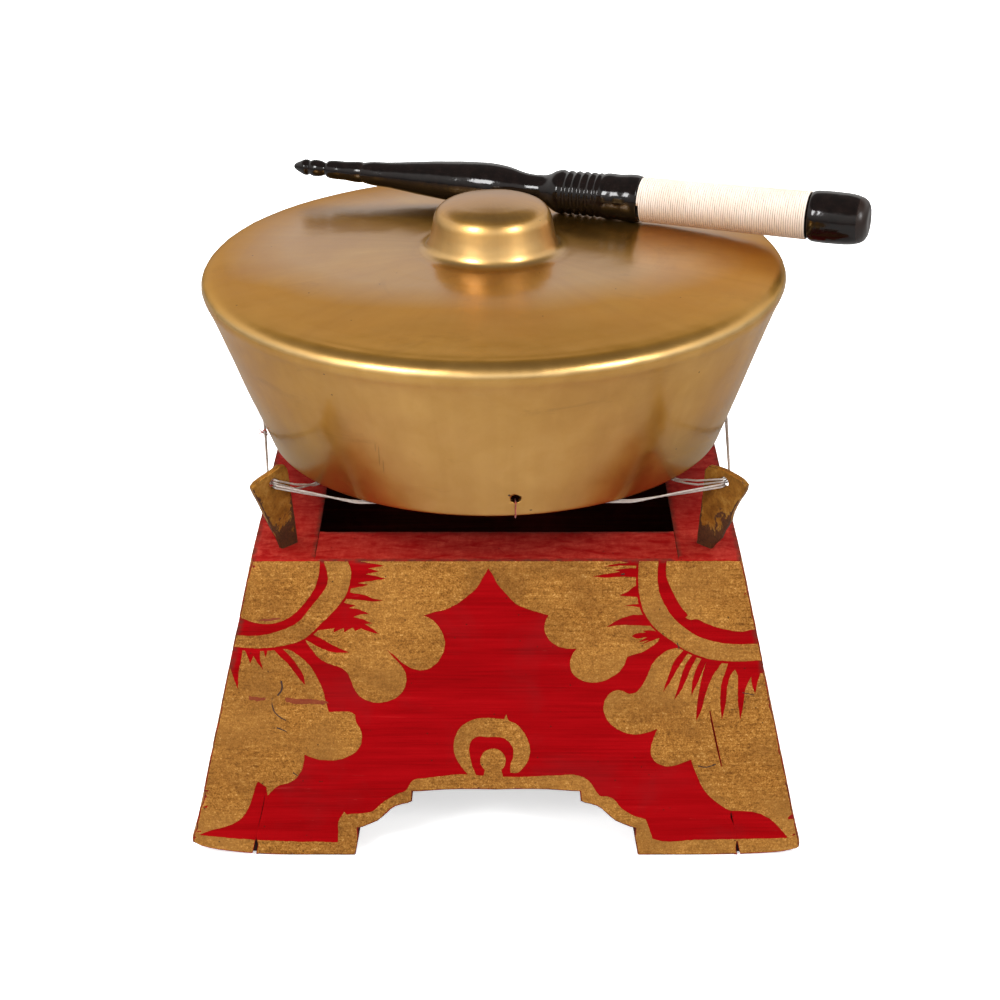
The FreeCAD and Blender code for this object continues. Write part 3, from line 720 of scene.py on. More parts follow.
    # the face has kept its clear coat, the wall has mostly lost it
    face = M.ramp((sep, "Z"), [(0.10, 0.62), (0.85, 1.0)])
    ctr = world(V(GONG_X, GONG_Y + 20.0, 0))
    rv = M.n("ShaderNodeVectorMath", operation="SUBTRACT")
    M.put(rv, 0, obj)
    rv.inputs[1].default_value = (ctr[0], ctr[1], 0)
    flat = M.n("ShaderNodeVectorMath", operation="MULTIPLY")
    M.put(flat, 0, (rv, 0))
    flat.inputs[1].default_value = (0.76, 1.0, 0.0)
    rl = M.n("ShaderNodeVectorMath", operation="LENGTH")
    M.put(rl, 0, (flat, 0))
    rr = M.math("ADD", (rl, "Value"), M.math("MULTIPLY", M.math("SUBTRACT", p1, 0.5), 0.03))
    inner_zone = M.n("ShaderNodeMapRange")
    inner_zone.inputs["From Min"].default_value = 0.082
    inner_zone.inputs["From Max"].default_value = 0.110
    inner_zone.inputs["To Min"].default_value = 1.0
    inner_zone.inputs["To Max"].default_value = 0.30
    wallm = M.ramp((sep, "Z"), [(0.30, 1.0), (0.70, 0.0)])
    M.put(inner_zone, "Value", rr)
    zone = M.math("MAXIMUM", (inner_zone, 0), (wallm, 0))
    haze = M.math("MULTIPLY", (face, 0), zone)
    # painted reflection: upward faces outside the hazed centre are pushed toward a saturated orange
    warm = M.math("MULTIPLY", M.math("SUBTRACT", (face, 0), haze), 0.30)
    col = M.mix(warm, col, (0.78, 0.345, 0.035))
    h = M.math("ADD", M.math("MULTIPLY", M.math("MULTIPLY", rad, rim), 0.9), M.math("MULTIPLY", rng, 0.12))
    b = M.bump(h, 0.16, 0.00012)
    b = M.bump(M.noise(M.scaled(26, 26, 26, src=obj), 1.0, 3, 0.5, 0.4), 0.22, 0.0011, b)
    b2 = M.bump(M.noise(M.scaled(900, 900, 900, src=obj), 1.0, 2, 0.6), 0.05, 0.0001, b)
    M.set(base=col, rough=r3, metal=1.0, normal=b2,
          coat=haze, coat_rough=0.20, coat_ior=1.62, coat_normal=b)
    # grazing reflections keep the metal's own colour
    M.bsdf.inputs["Specular Tint"].default_value = (0.66, 0.44, 0.18, 1.0)
    return M.m


def lacquer(name):
    M = Mat(name)
    nz = M.noise(M.scaled(230, 230, 230), 1.0, 4, 0.6)
    dust = M.noise(M.scaled(900, 900, 900), 1.0, 3, 0.7)
    base = M.ramp(nz, [(0.35, (0.0028, 0.0016, 0.0014)), (0.7, (0.0065, 0.0032, 0.0026))])
    col = M.mix(M.ramp(dust, [(0.70, 0.0), (0.82, 0.20)]), (base, 0), (0.04, 0.02, 0.012))
    w = M.attr("wear_and_groove_shade")
    col = M.mix(M.math("MULTIPLY", w, 0.32), col, (0.040, 0.022, 0.016))
    wav = M.noise(M.scaled(95, 95, 95), 1.0, 3, 0.55)
    b = M.bump(wav, 0.30, 0.0008)
    b = M.bump(dust, 0.06, 0.0001, b)
    rough = M.math("ADD", M.ramp(nz, [(0.3, 0.07), (0.75, 0.17)]), M.math("MULTIPLY", w, 0.22))
    M.set(base=col, rough=rough, normal=b, spec=0.38)
    return M.m


def wound_cord(name):
    M = Mat(name)
    fib = M.noise(M.scaled(1500, 1500, 1500), 1.0, 3, 0.6)
    soil = M.noise(M.scaled(38, 38, 38), 1.0, 4, 0.6, 0.3)
    base = M.ramp(soil, [(0.3, (0.64, 0.52, 0.43)), (0.55, (0.70, 0.60, 0.52)), (0.8, (0.74, 0.66, 0.60))])
    col = M.mix(M.ramp(fib, [(0.35, 0.15), (0.6, 0.0)]), (base, 0), (0.56, 0.44, 0.34))
    # painted shade: darker brown in the grooves between turns, from the winding's mask
    w = M.attr("wear_and_groove_shade")
    col = M.mix(M.math("MULTIPLY", w, 0.60), col, (0.40, 0.27, 0.17))
    # painted reflection: faces turned downward are tinted warm orange, as if lit by the gong below
    geo = M.n("ShaderNodeNewGeometry")
    sep = M.n("ShaderNodeSeparateXYZ")
    M.put(sep, 0, (geo, "Normal"))
    under = M.n("ShaderNodeMapRange")
    under.inputs["From Min"].default_value = 0.10
    under.inputs["From Max"].default_value = -0.75
    M.put(under, "Value", (sep, "Z"))
    col = M.mix(M.math("MULTIPLY", (under, 0), 0.55), col, (0.62, 0.36, 0.17))
    M.set(base=col, rough=0.78, sheen=0.25, sheen_rough=0.5, normal=M.bump(fib, 0.35, 0.00015), spec=0.25)
    return M.m


def nylon(name):
    M = Mat(name)
    a = M.noise(M.scaled(420, 420, 420), 1.0, 3, 0.6)
    base = M.ramp(a, [(0.3, (0.50, 0.43, 0.39)), (0.7, (0.68, 0.61, 0.57))])
    M.set(base=(base, 0), rough=0.34, trans=0.45, ior=1.48, spec=0.5,
          normal=M.bump(a, 0.2, 0.0001), coat=0.25, coat_rough=0.25)
    return M.m


def red_thread(name):
    M = Mat(name)
    a = M.noise(M.scaled(1400, 1400, 1400), 1.0, 3, 0.6)
    base = M.ramp(a, [(0.3, (0.16, 0.012, 0.008)), (0.7, (0.46, 0.065, 0.035))])
    M.set(base=(base, 0), rough=0.85, sheen=0.3, normal=M.bump(a, 0.5, 0.0002))
    return M.m


def peg_metal(name):
    M = Mat(name)
    grain = M.noise(M.scaled(900, 900, 900), 1.0, 4, 0.75)
    mot = M.noise(M.scaled(120, 120, 120), 1.0, 5, 0.65, 0.3)
    base = M.ramp(mot, [(0.32, (0.175, 0.066, 0.0080)), (0.52, (0.330, 0.142, 0.0190)), (0.7, (0.46, 0.235, 0.048))])
    col = M.mix(M.ramp(grain, [(0.36, 0.45), (0.5, 0.0)]), (base, 0), (0.085, 0.036, 0.007))
    # darker brown patches, more of them toward the bottom of the plate
    sep = M.n("ShaderNodeSeparateXYZ")
    M.put(sep, 0, (M.coord, "Object"))
    low = M.n("ShaderNodeMapRange")
    low.inputs["From Min"].default_value = 0.153
    low.inputs["From Max"].default_value = 0.187
    low.inputs["To Min"].default_value = 0.27
    low.inputs["To Max"].default_value = -0.20
    M.put(low, "Value", (sep, 2))
    wn = M.noise(M.scaled(85, 85, 60), 1.0, 6, 0.72, 0.7)
    fac = M.math("ADD", wn, low)
    w = M.attr("wear_and_groove_shade")
    fac = M.math("ADD", fac, M.math("MULTIPLY", w, 0.26))
    m = M.ramp(fac, [(0.585, 0.0), (0.625, 1.0)])
    dk = M.ramp(grain, [(0.3, (0.016, 0.0045, 0.0020)), (0.7, (0.070, 0.019, 0.0070))])
    col = M.mix(M.math("MULTIPLY", m, 0.93), col, (dk, 0))
    rough = M.math("ADD", M.math("MULTIPLY", m, 0.22), 0.42)
    metal = M.math("MULTIPLY", M.math("SUBTRACT", 1.0, m), 0.6)
    h = M.math("ADD", M.math("MULTIPLY", grain, 0.5), M.math("MULTIPLY", m, -0.5))
    M.set(base=col, rough=rough, metal=metal, normal=M.bump(h, 0.4, 0.0002), spec=0.25)
    return M.m


def dowel_wood(name):
    M = Mat(name)
    g = M.noise(M.scaled(30, 700, 700), 1.0, 4, 0.6, 0.3)
    base = M.ramp(g, [(0.35, (0.20, 0.11, 0.05)), (0.6, (0.36, 0.22, 0.11)), (0.8, (0.45, 0.30, 0.17))])
    M.set(base=(base, 0), rough=0.75, normal=M.bump(g, 0.3, 0.0003))
    return M.m


MAT_RED = red_paint("red_lacquer_paint")
MAT_RED_INSIDE_SHADE = red_paint("red_lacquer_inside_painted_shade", inner=True)
MAT_GOLD = gilding("gold_powder_paint")
MAT_RUBBED = gilding("gold_paint_rubbed", rubbed=1.0)
MAT_DARK = dark_fill_material("dark_crack_and_shade_fill")
MAT_BRONZE = bronze("satin_bronze")
MAT_BRONZE_IN = bronze("bronze_inside", inner=True)
MAT_LACQ = lacquer("black_gloss_lacquer")
MAT_WRAP = wound_cord("wound_cotton_cord")
MAT_NYLON = nylon("pale_sling_cord")
MAT_THREAD = red_thread("red_thread")
MAT_PEG = peg_metal("gilded_peg_metal")
MAT_DOWEL = dowel_wood("plain_dowel_wood")


# ------------------------------------------------------------------ stand
def side_frame(k):
    """Outer face frame of side k: 0 front, 1 right, 2 rear, 3 left."""
    rot = Matrix.Rotation(math.pi / 2 * k, 3, "Z")
    return (rot @ V(0, -BASE_HALF, 0), rot @ V(1, 0, 0), rot @ V(0, SL, CL), rot @ V(0, CL, -SL))


FOOT_LIFT = {(-1, -1): 6.4, (1, -1): 3.2, (-1, 1): 3.6, (1, 1): 4.4}


def warp(p):
    """Small, smooth unevenness of hand-cut boards, and worn corners. One
    function of place, so boards and gilding stay together."""
    q = Vector(p)
    w = noise.noise_vector(q * 0.011 + V(3, 7, 1)) * 0.42 + noise.noise_vector(q * 0.045) * 0.10
    if q.z < 1.0 or q.z > STAND_H - 0.8:
        w.z *= 0.25
    q = q + w
    # feet: the outer bottom corners are worn short
    for (sx, sy), lift in FOOT_LIFT.items():
        fx = (p[0] * sx - 98.0) / 56.0
        fy = (p[1] * sy - 98.0) / 56.0
        if fx > 0 and fy > -0.5:
            near = max(0.0, 1 - p[2] / 26.0)
            g = min(fx, 1.0) ** 2.4 * max(0.0, min(1.0, (fy + 0.5) / 1.5)) ** 1.2
            q.z += lift * g * near * near
        c = V(sx * BASE_HALF, sy * BASE_HALF, 0)
        d = (Vector(p) - c).length
        if d < 13:
            t = (1 - d / 13.0) ** 2
            n = 0.7 + 0.6 * noise.noise(Vector(p) * 0.3)
            q += V(-sx * 1.9, -sy * 1.9, 1.2) * (t * n)
        c = V(sx * TOP_HALF, sy * TOP_HALF, STAND_H)
        d = (Vector(p) - c).length
        if d < 7:
            t = (1 - d / 7.0) ** 2
            q += V(-sx * 0.8, -sy * 0.8, -0.7) * t
    # small dings along the slanting corner edges
    for sx in (-1, 1):
        for sy in (-1, 1):
            h = BASE_HALF - S * p[2]
            d = math.hypot(p[0] - sx * h, p[1] - sy * h)
            if d < 5:
                n = noise.noise(V(p[2] * 0.16, sx * 9.1, sy * 5.3)) - 0.12
                n2 = noise.noise(V(p[2] * 0.55, sx * 3.1, sy * 8.3)) - 0.2
                k = max(0.0, n) * 2.6 + max(0.0, n2) * 1.2
                q += V(-sx, -sy, 0) * (k * (1 - d / 5.0))
    return q


def arch_loop():
    pts = [(-a, b) for a, b in ARCH] + [(a, b) for a, b in reversed(ARCH[:-1])]
    return pts


def arch_u(v):
    for (a0, b0), (a1, b1) in zip(ARCH[:4], ARCH[1:4]):
        if b0 <= v <= b1:
            return a0 + (a1 - a0) * (v - b0) / (b1 - b0)
    return ARCH[0][0]


def densify(pts, step):
    out = []
    for a, b in zip(pts[:-1], pts[1:]):
        a, b = Vector(a), Vector(b)
        n = max(1, int(math.ceil((b - a).length / step)))
        out += [tuple(a.lerp(b, i / n)) for i in range(n)]
    out.append(tuple(pts[-1]))
    return out


def bez_corner(la, lb, i, r, n=4):
    """Points that round corner i of the matched loops la and lb."""
    res = []
    for lp in (la, lb):
        C = Vector(lp[i])
        a = (Vector(lp[i - 1]) - C).normalized()
        b = (Vector(lp[(i + 1) % len(lp)]) - C).normalized()
        res.append([tuple((C + a * r) * (1 - t) ** 2 + C * (2 * t * (1 - t)) + (C + b * r) * t ** 2)
                    for t in [k / (n - 1) for k in range(n)]])
    return res


# how far the front joints have opened, by height
def crack_open(k, end, z):
    """Opening of the joint at end -1/+1 of panel k at height z."""
    if k == 0 and end < 0:
        v = z / CL
        if v < 9.5:
            return 1.9 * max(0.0, 1 - max(0.0, v - 5.5) / 4.0)
        if 13 < v < 34:
            return 0.36 * math.sin(math.pi * (v - 13) / 21.0)
        return 0.0
    if k == 0:
        v = z / CL
        if v < 8.5:
            return 1.5 * max(0.0, 1 - max(0.0, v - 4.0) / 4.5)
        if 17 < v < 24:
            return 0.9 * math.sin(math.pi * (v - 17) / 7.0)
        if 47 < v < 78:
            return 0.5 * math.sin(math.pi * (v - 47) / 31.0) ** 0.5
        return 0.0
    t = noise.noise(V(z * 0.045, k * 7.3, end * 4.1))
    return max(0.0, t - 0.05) * 1.3 + (1.2 * max(0.0, 1 - z / 9.0) if end * k != 2 else 0.0)


def board(name, k, panel, node, body="stand"):
    o, u, v, n = side_frame(k)
    H0 = BASE_HALF - (BOARD_T if panel else 0.0)

    def half(z):
        return H0 - S * z

    def pos(d):
        return lambda p: o + u * p[0] + v * p[1] + n * d

    def zz(vv, d):
        return vv * CL - d * SL

    arch = densify(arch_loop(), 1.6)
    la, lb = [], []
    flags = {}

    def put(a, b, corner=0.0):
        if corner:
            flags[len(la)] = corner
        la.append(a)
        lb.append(b)

    ends = 5.0
    put((-half(0), 0.0), (-half(0), V_IN), 0.0 if panel else 1.0)
    nb = 16
    foot = arch_u(0.0)
    foot_in = arch_u(V_IN)
    for i in range(1, nb):
        t = i / nb
        put((-half(0) + (half(0) - foot) * t, 0.0), (-half(0) + (half(0) - foot_in) * t, V_IN))
    put((-foot, 0.0), (-foot_in, V_IN), 0.7)
    v1 = 14.6
    mid = [p for p in arch if p[1] > 0.4]
    for a, b in mid:
        if b < v1:
            bi = V_IN + b * (v1 - V_IN) / v1
            put((a, b), (math.copysign(arch_u(bi), a), bi))
        else:
            put((a, b), (a, b))
    put((foot, 0.0), (foot_in, V_IN), 0.7)
    for i in range(1, nb):
        t = i / nb
        put((foot + (half(0) - foot) * t, 0.0), (foot_in + (half(0) - foot_in) * t, V_IN))
    put((half(0), 0.0), (half(0), V_IN), 0.0 if panel else 1.0)
    ns = 84
    for i in range(1, ns):
        z = STAND_H * i / ns
        c = crack_open(k, 1, z) if panel else 0.0
        put((half(z) - c, z / CL), (half(z), (z + TP * SL) / CL))
    z = STAND_H
    put((half(z), V_TOP), (half(z), V_TOP + V_IN), 0.0 if panel else 0.8)
    nt = 50
    for i in range(1, nt):
        t = 1 - 2 * i / nt
        put((half(z) * t, V_TOP), (half(z) * t, V_TOP + V_IN))
    put((-half(z), V_TOP), (-half(z), V_TOP + V_IN), 0.0 if panel else 0.8)
    for i in range(ns - 1, 0, -1):
        z = STAND_H * i / ns
        c = crack_open(k, -1, z) if panel else 0.0
        put((-half(z) + c, z / CL), (-half(z), (z + TP * SL) / CL))
    if panel:
        # the opened joint reaches the bottom edge too
        c0, c1 = crack_open(k, -1, 0.0), crack_open(k, 1, 0.0)
        la[0] = (la[0][0] + c0, 0.0)
        j = [i for i, p in enumerate(la) if abs(p[0] - half(0)) < 1e-6 and abs(p[1]) < 1e-6]
        for i in j:
            la[i] = (la[i][0] - c1, 0.0)
    A, B = [], []
    for i in range(len(la)):
        if i in flags:
            pa, pb = bez_corner(la, lb, i, flags[i])
            A += pa
            B += pb
        else:
            A.append(la[i])
            B.append(lb[i])

    def radius(p3, li, side):
        z = p3.z
        d = (p3 - o)
        uu = abs(d.dot(u))
        if abs(uu - half(z)) < 2.2 and (panel or side == 1):
            return 0.05
        if panel and z >= STAND_H - 0.3 and abs(uu - half(z)) < 0.6:
            return 0.10
        if z >= STAND_H - 0.3:
            return 0.55
        if z < 0.3:
            return 0.9
        if uu < 74 and z < 37:
            return 0.5
        return 0.95 + 0.25 * noise.noise(V(z * 0.2, k, 1.7))

    vs, fs, kind, wear_and_groove_shade = slab([A], [B], pos(0.0), pos(TP), radius, grid=5.5, across=7)
    vs = [warp(p) for p in vs]
    idx = []
    for f, kd in zip(fs, kind):
        c = sum((vs[i] for i in f), Vector()) / len(f)
        # painted shade: inside faces and the cut faces of the arch take the near-black inside paint
        inner = kd == 1
        if kd == 2 and c.z < 36 and abs((c - o).dot(u)) < 71.2:
            inner = True            # the cut faces of the arch stay dark
        idx.append(1 if inner else 0)
    ob = new_mesh(name, vs, fs, [MAT_RED, MAT_RED_INSIDE_SHADE], idx, attrs={"wear_and_groove_shade": wear_and_groove_shade}, sharp_deg=38)
    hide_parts(node)
    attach(ob, body)
    return ob


board("front_panel_painted", 0, True, "front_panel")
board("right_board_painted", 1, False, "right_side_board")
board("rear_panel_painted", 2, True, "rear_panel")
board("left_board_painted", 3, False, "left_side_board")


# dark slivers that close the opened front joints from behind: painted shade, so the gaps show dark instead of the
# bright floor
for _nm, _sg in (("joint_shade_filler_left", -1), ("joint_shade_filler_right", 1)):
    _o, _u, _v, _n = side_frame(0)
    _vv0, _ff0 = [], []
    _rows = 22
    for _i in range(_rows + 1):
        _z = 0.8 + 33.0 * _i / _rows
        _ux = _sg * (BASE_HALF - BOARD_T - S * _z)
        _dp = 2.2 + 0.9 * noise.noise(V(_z * 0.31, _sg * 2.0, 5.0))
        for _du, _dd in ((0.35, 0.0), (-2.1, 0.3), (-2.1, 6.0), (0.35, 6.0)):
            _p = _o + _u * (_ux + _sg * _du) + _v * (_z / CL) + _n * (_dp + _dd)
            _vv0.append(warp(_p))
    for _i in range(_rows):
        for _k in range(4):
            _j = (_k + 1) % 4
            _q = (_i * 4 + _k, _i * 4 + _j, (_i + 1) * 4 + _j, (_i + 1) * 4 + _k)
            _ff0.append(_q if _sg > 0 else tuple(reversed(_q)))
    _ff0.append((0, 1, 2, 3))
    _ff0.append(tuple(_rows * 4 + _k for _k in (3, 2, 1, 0)))
    _ob = new_mesh(_nm, _vv0, _ff0, [MAT_DARK], sharp_deg=30)
    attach(_ob, "stand")


# ------------------------------------------------------------------ gilding
# Scroll, rosette and border outlines on one side, (across, up the slope) in mm.
OUTER = 175.0
BORDER = [(-OUTER, -5), (-OUTER, 9.4), (-140, 8.8), (-120, 8.0), (-100, 7.6), (-80, 7.2), (-79.6, 12),
          (-79.4, 18), (-76.5, 23.5), (-75.2, 21.8), (-73, 22.2), (-68, 22.5), (-62, 24), (-58, 27.5), (-54, 30.5),
          (-50, 33), (-45, 35.2), (-43.5, 38), (-42, 40), (-35, 41.5), (-28, 42.5), (-18, 43.5),
          (-8, 42.8), (2, 42.2), (10, 42), (20, 42.5), (30, 42.8), (40, 42.8), (44, 41.5), (47, 39),
          (50, 34.5), (52, 31.8), (57, 31.2), (60, 29), (62, 26), (66, 23), (70, 21), (75, 19.5),
          (77, 14), (78.5, 9), (82, 8), (100, 8.5), (130, 8.8), (OUTER, 8.6), (OUTER, -5)]
CRESCENT = [(-14, 43), (-17, 47), (-20, 52), (-21.2, 58), (-20.5, 63), (-18, 68), (-14, 71), (-9, 72.8),
            (-4, 73.2), (0, 72.8), (4, 72.5), (5, 75), (6, 72.2), (10, 70), (13.5, 66), (16, 61),
            (17, 56), (16, 51), (13.5, 47), (11, 44.5), (7, 44.2), (7, 48), (8.5, 53), (8.5, 57),
            (7, 60), (4, 62.5), (0, 63.2), (-5, 63.2), (-10, 63.2), (-12.2, 61.5), (-13.5, 57),
            (-13.2, 53), (-12, 48), (-10, 43)]
PEARL = [(-1.6 + 6.4 * math.cos(math.radians(a)), 50.7 + 6.4 * math.sin(math.radians(a)))
         for a in range(-50, 231, 20)] + [(-6.6, 42), (3.2, 42)]

L_RING = [(-73, 165), (-73, 155), (-71, 150), (-71.5, 143), (-73, 138), (-76, 133), (-81, 127), (-86, 122),
          (-91, 117), (-96, 113.5), (-102, 111.5), (-110, 110), (-118, 109.5), (-127, 110), (-OUTER, 110),
          (-OUTER, 165)]
L_RED = [(-84, 165), (-84, 154), (-82.5, 148), (-82.5, 143), (-84, 139.5), (-88, 134), (-92, 129),
         (-96, 124), (-100, 121), (-106, 118.5), (-112, 116.8), (-118, 115.8), (-126, 116), (-OUTER, 116),
         (-OUTER, 165)]
L_DISC = [(-86, 165), (-86, 154), (-86.5, 148), (-88.5, 141), (-92, 135), (-97, 129), (-102, 125),
          (-108, 122.5), (-113, 121.8), (-118, 122.5), (-123, 124), (-OUTER, 126.6), (-OUTER, 165)]
L_CLOUD = [(-4, 150), (-6, 146.5), (-10, 140), (-15, 135.5), (-20, 131.8), (-26, 129), (-30, 128),
           (-36, 126.2), (-34, 125.5), (-30, 122.5), (-27, 118), (-25.5, 113), (-26, 108), (-28.5, 103),
           (-33, 99), (-38, 98), (-41, 98.8), (-46, 101.5), (-50, 105.5), (-54, 109), (-50, 104),
           (-47, 100.5), (-45, 97), (-44.5, 93), (-46, 88), (-49.5, 84), (-54, 82), (-59, 81.2),
           (-64, 82.5), (-68, 85), (-70.5, 89), (-72, 93), (-73.5, 96.5), (-76, 99), (-80, 100.5),
           (-84, 102), (-88, 105), (-91, 109), (-93.2, 112.2), (-94, 114.8), (-90.4, 116.2), (-84.6, 121.6),
           (-79.6, 126.6), (-74.8, 132.6), (-71.8, 137.6), (-70.2, 143), (-69.8, 150), (-71.6, 155),
           (-71.6, 165), (-4, 165)]
L_CLOUD_RED = [
    [(-75, 157.2), (-70, 156.3), (-64, 155.6), (-57.5, 155.2), (-62, 154.0), (-66, 153.3), (-60, 152.6),
     (-54.6, 151.6), (-59, 150.6), (-62.5, 150.0), (-57.2, 148.9), (-60.5, 147.9), (-63.5, 147.2),
     (-58.2, 146.2), (-53.6, 145.0), (-58.4, 144.2), (-63.5, 143.5), (-67.5, 142.8), (-62.2, 141.9),
     (-67, 140.8), (-71.4, 139.9), (-76.4, 139.8), (-76, 146)],
    [(-74.6, 138.6), (-69, 137.6), (-64.6, 136.9), (-60.8, 135.2), (-55.2, 134.0), (-60.5, 133.4),
     (-66, 134.0), (-71, 134.6), (-76.5, 135.2)],
    [(-76.8, 133.6), (-72.4, 132.2), (-68.5, 131.4), (-72, 130.2), (-66.5, 129.0), (-62.0, 127.0), (-67.0, 126.6),
     (-70, 125.4), (-65.2, 124.2), (-60.6, 122.2), (-64.5, 121.9), (-61.5, 120.0), (-57.2, 116.8), (-62.4, 118.0),
     (-66.2, 119.6), (-69.4, 118.2), (-70.4, 120.2), (-74.6, 117.6), (-75, 119.8), (-80.2, 117.4), (-79.6, 119.6),
     (-90, 118.2), (-86, 123.6), (-81, 128.6)],
    [(-97, 116.0), (-90.5, 111.8), (-85, 108.8), (-79, 107.2), (-72.2, 107.3), (-76.5, 109.2), (-81.5, 111.6),
     (-86.5, 114.6), (-91.5, 117.4)],
]
L_LOWER = [(-105.5, 109), (-102, 108.5), (-98, 106), (-94, 102.5), (-90.5, 98), (-88, 93), (-86, 88),
           (-84.5, 82), (-83, 76.3), (-77, 76.5), (-73, 76.5), (-70, 75), (-69.5, 71), (-67.5, 67.5),
           (-66.8, 63), (-68, 58), (-71, 54.5), (-76, 52), (-82, 51), (-88, 51.2), (-92, 52.5),
           (-95.5, 54), (-96, 50), (-97.5, 45), (-100, 41.5), (-104, 39), (-109, 37.5), (-114.5, 32.5),
           (-115, 37), (-119, 40), (-120, 38), (-121.5, 33), (-123, 28), (-125.5, 23), (-129, 19),
           (-133, 16.5), (-138, 14.5), (-144, 12.5), (-150, 9), (-OUTER, 8.6), (-OUTER, 108.4),
           (-128, 108.4), (-118, 107.9), (-110, 108.3)]
L_LOWER_RED = [
    [(-136, 110), (-124.6, 109.5), (-125.4, 104), (-126.8, 98), (-127.6, 88), (-129.6, 94), (-131.2, 100), (-136, 102)],
    [(-124.2, 109.5), (-115.9, 109.5), (-116.4, 104.5), (-114.9, 98), (-117.6, 101.8), (-119.4, 105.4), (-121.2, 101.6), (-122.6, 106)],
    [(-114.6, 109.5), (-112.4, 109.5), (-112.9, 106.8), (-113.8, 104.6)],
    [(-110.2, 109.5), (-105.2, 109.2), (-101.6, 105.2), (-98.2, 100.4), (-95.2, 94.8), (-94.6, 90.4), (-97.2, 93.2),
     (-100.6, 98.2), (-103.8, 102.4), (-107.4, 106)],
]
L_SMUDGE = [
    [(-122.4, 84.6), (-118, 84.2), (-113.6, 83.9), (-114.4, 82.7), (-118, 82.2), (-122, 82.8)],
    [(-104.6, 84.0), (-99, 83.2), (-92, 83.2), (-86, 82.4), (-82.8, 80.9), (-87, 80.2), (-93, 80.6), (-99, 80.5),
     (-104, 81.4)],
    [(-118, 123.4), (-112, 124.6), (-106, 125.2), (-106, 124.2), (-112, 123.2)],
]
R_RING = [(69.5, 165), (69.5, 155.5), (69, 150), (69, 143), (69.5, 138), (70.5, 133), (72, 128), (75, 123),
          (78, 119.5), (82, 116), (87, 112.5), (92, 109), (97, 106.5), (104, 104), (112, 102.8),
          (120, 102.5), (130, 103), (OUTER, 103), (OUTER, 165)]
R_RED = [(78.8, 165), (78.8, 155.5), (78.5, 150), (78.6, 143), (80, 136), (83, 130), (87, 124.5), (92, 120),
         (98, 116), (104, 113.5), (112, 111.8), (120, 111.2), (127.5, 111.5), (OUTER, 111.5), (OUTER, 165)]
R_DISC = [(83, 165), (83, 155), (82.5, 150), (83, 145), (85, 140), (87.5, 135), (90.5, 130), (93, 127),
          (93.6, 126), (92.6, 125.0), (94.6, 124.0), (98, 124.2), (103, 122), (108, 120), (114, 118.5),
          (120, 117.8), (126, 118.8), (OUTER, 119), (OUTER, 165)]
R_CLOUD = [(-4, 165), (-4, 150), (-2, 147), (0, 143), (3, 139), (6, 135.5), (10, 131.8), (15, 129.5), (20, 127.8),
           (25.5, 126.2), (24, 123), (23.5, 119.5), (24.5, 116), (26.5, 113), (30, 110.5), (34, 109.3),
           (39.5, 109.2), (37.5, 106), (36.5, 102), (37, 98), (39.5, 94.5), (43, 92.5), (48, 91.5),
           (53, 92.5), (57, 94.5), (61, 97.5), (63, 100.5), (64.5, 105), (68, 106.2), (72, 107.5),
           (76, 110), (79.4, 112.9), (80.4, 116.2), (76.6, 119.6), (73.6, 123), (70.8, 128), (69.2, 133),
           (68.2, 138), (67.8, 143), (67.8, 150), (68.4, 155.5), (68.4, 165)]
R_CLOUD_RED = [
    [(76, 120.8), (70, 120.9), (60, 121), (54, 120.2), (57, 122.4), (60, 124), (66, 126), (74, 126.3)],
    [(71, 130), (66, 130.8), (61.8, 130.6), (66, 131.6), (71, 131.8)],
    [(71, 135.2), (66, 135.6), (59.8, 136.2), (64.5, 138.6), (67, 140.8), (71, 141.8)],
    [(71, 145.2), (62, 145.6), (54, 145.2), (46.6, 145.7), (54, 147.2), (60, 148), (57, 149.2), (63, 149.8), (71, 150)],
    [(71, 151), (62, 151.2), (52, 150.6), (58, 152.2), (64, 152.6), (60, 153.6), (71, 154.2)],
    [(81.4, 115.2), (76, 112.9), (71, 111.4), (75, 113.4), (69.5, 112.4), (74, 115.0), (68, 114.6), (66.3, 115.6),
     (69.5, 117.1), (73.3, 117.4), (71.6, 118.4), (76, 118.4), (80.4, 117.6)],
]
R_LOWER = [(90.5, 109), (85, 108.5), (80, 105), (77, 101), (75, 96), (72, 90), (69, 86.5), (66, 85.8),
           (62.5, 87.2), (60, 87.7), (57, 86.5), (54.5, 83.5), (53.2, 79), (54, 74.5), (56, 71), (60, 67.5),
           (65, 65.2), (70, 64.5), (75, 65.5), (80.2, 67.5), (78.5, 63), (77.2, 58), (77.5, 53), (80, 49.5),
           (84, 47.8), (88, 47.8), (92, 49.2), (97, 51.2), (98.5, 47), (100.5, 42), (103.5, 36), (107, 31.5),
           (112, 27.5), (117, 24.5), (122, 24.2), (128, 23.8), (134, 21.8), (139, 18.5), (142, 15),
           (145, 11.5), (147, 8.3), (OUTER, 8.3), (OUTER, 101.6), (130, 101.6), (120, 101.1), (112, 101.5),
           (104, 102.8), (97.4, 105.2), (93, 107.4)]
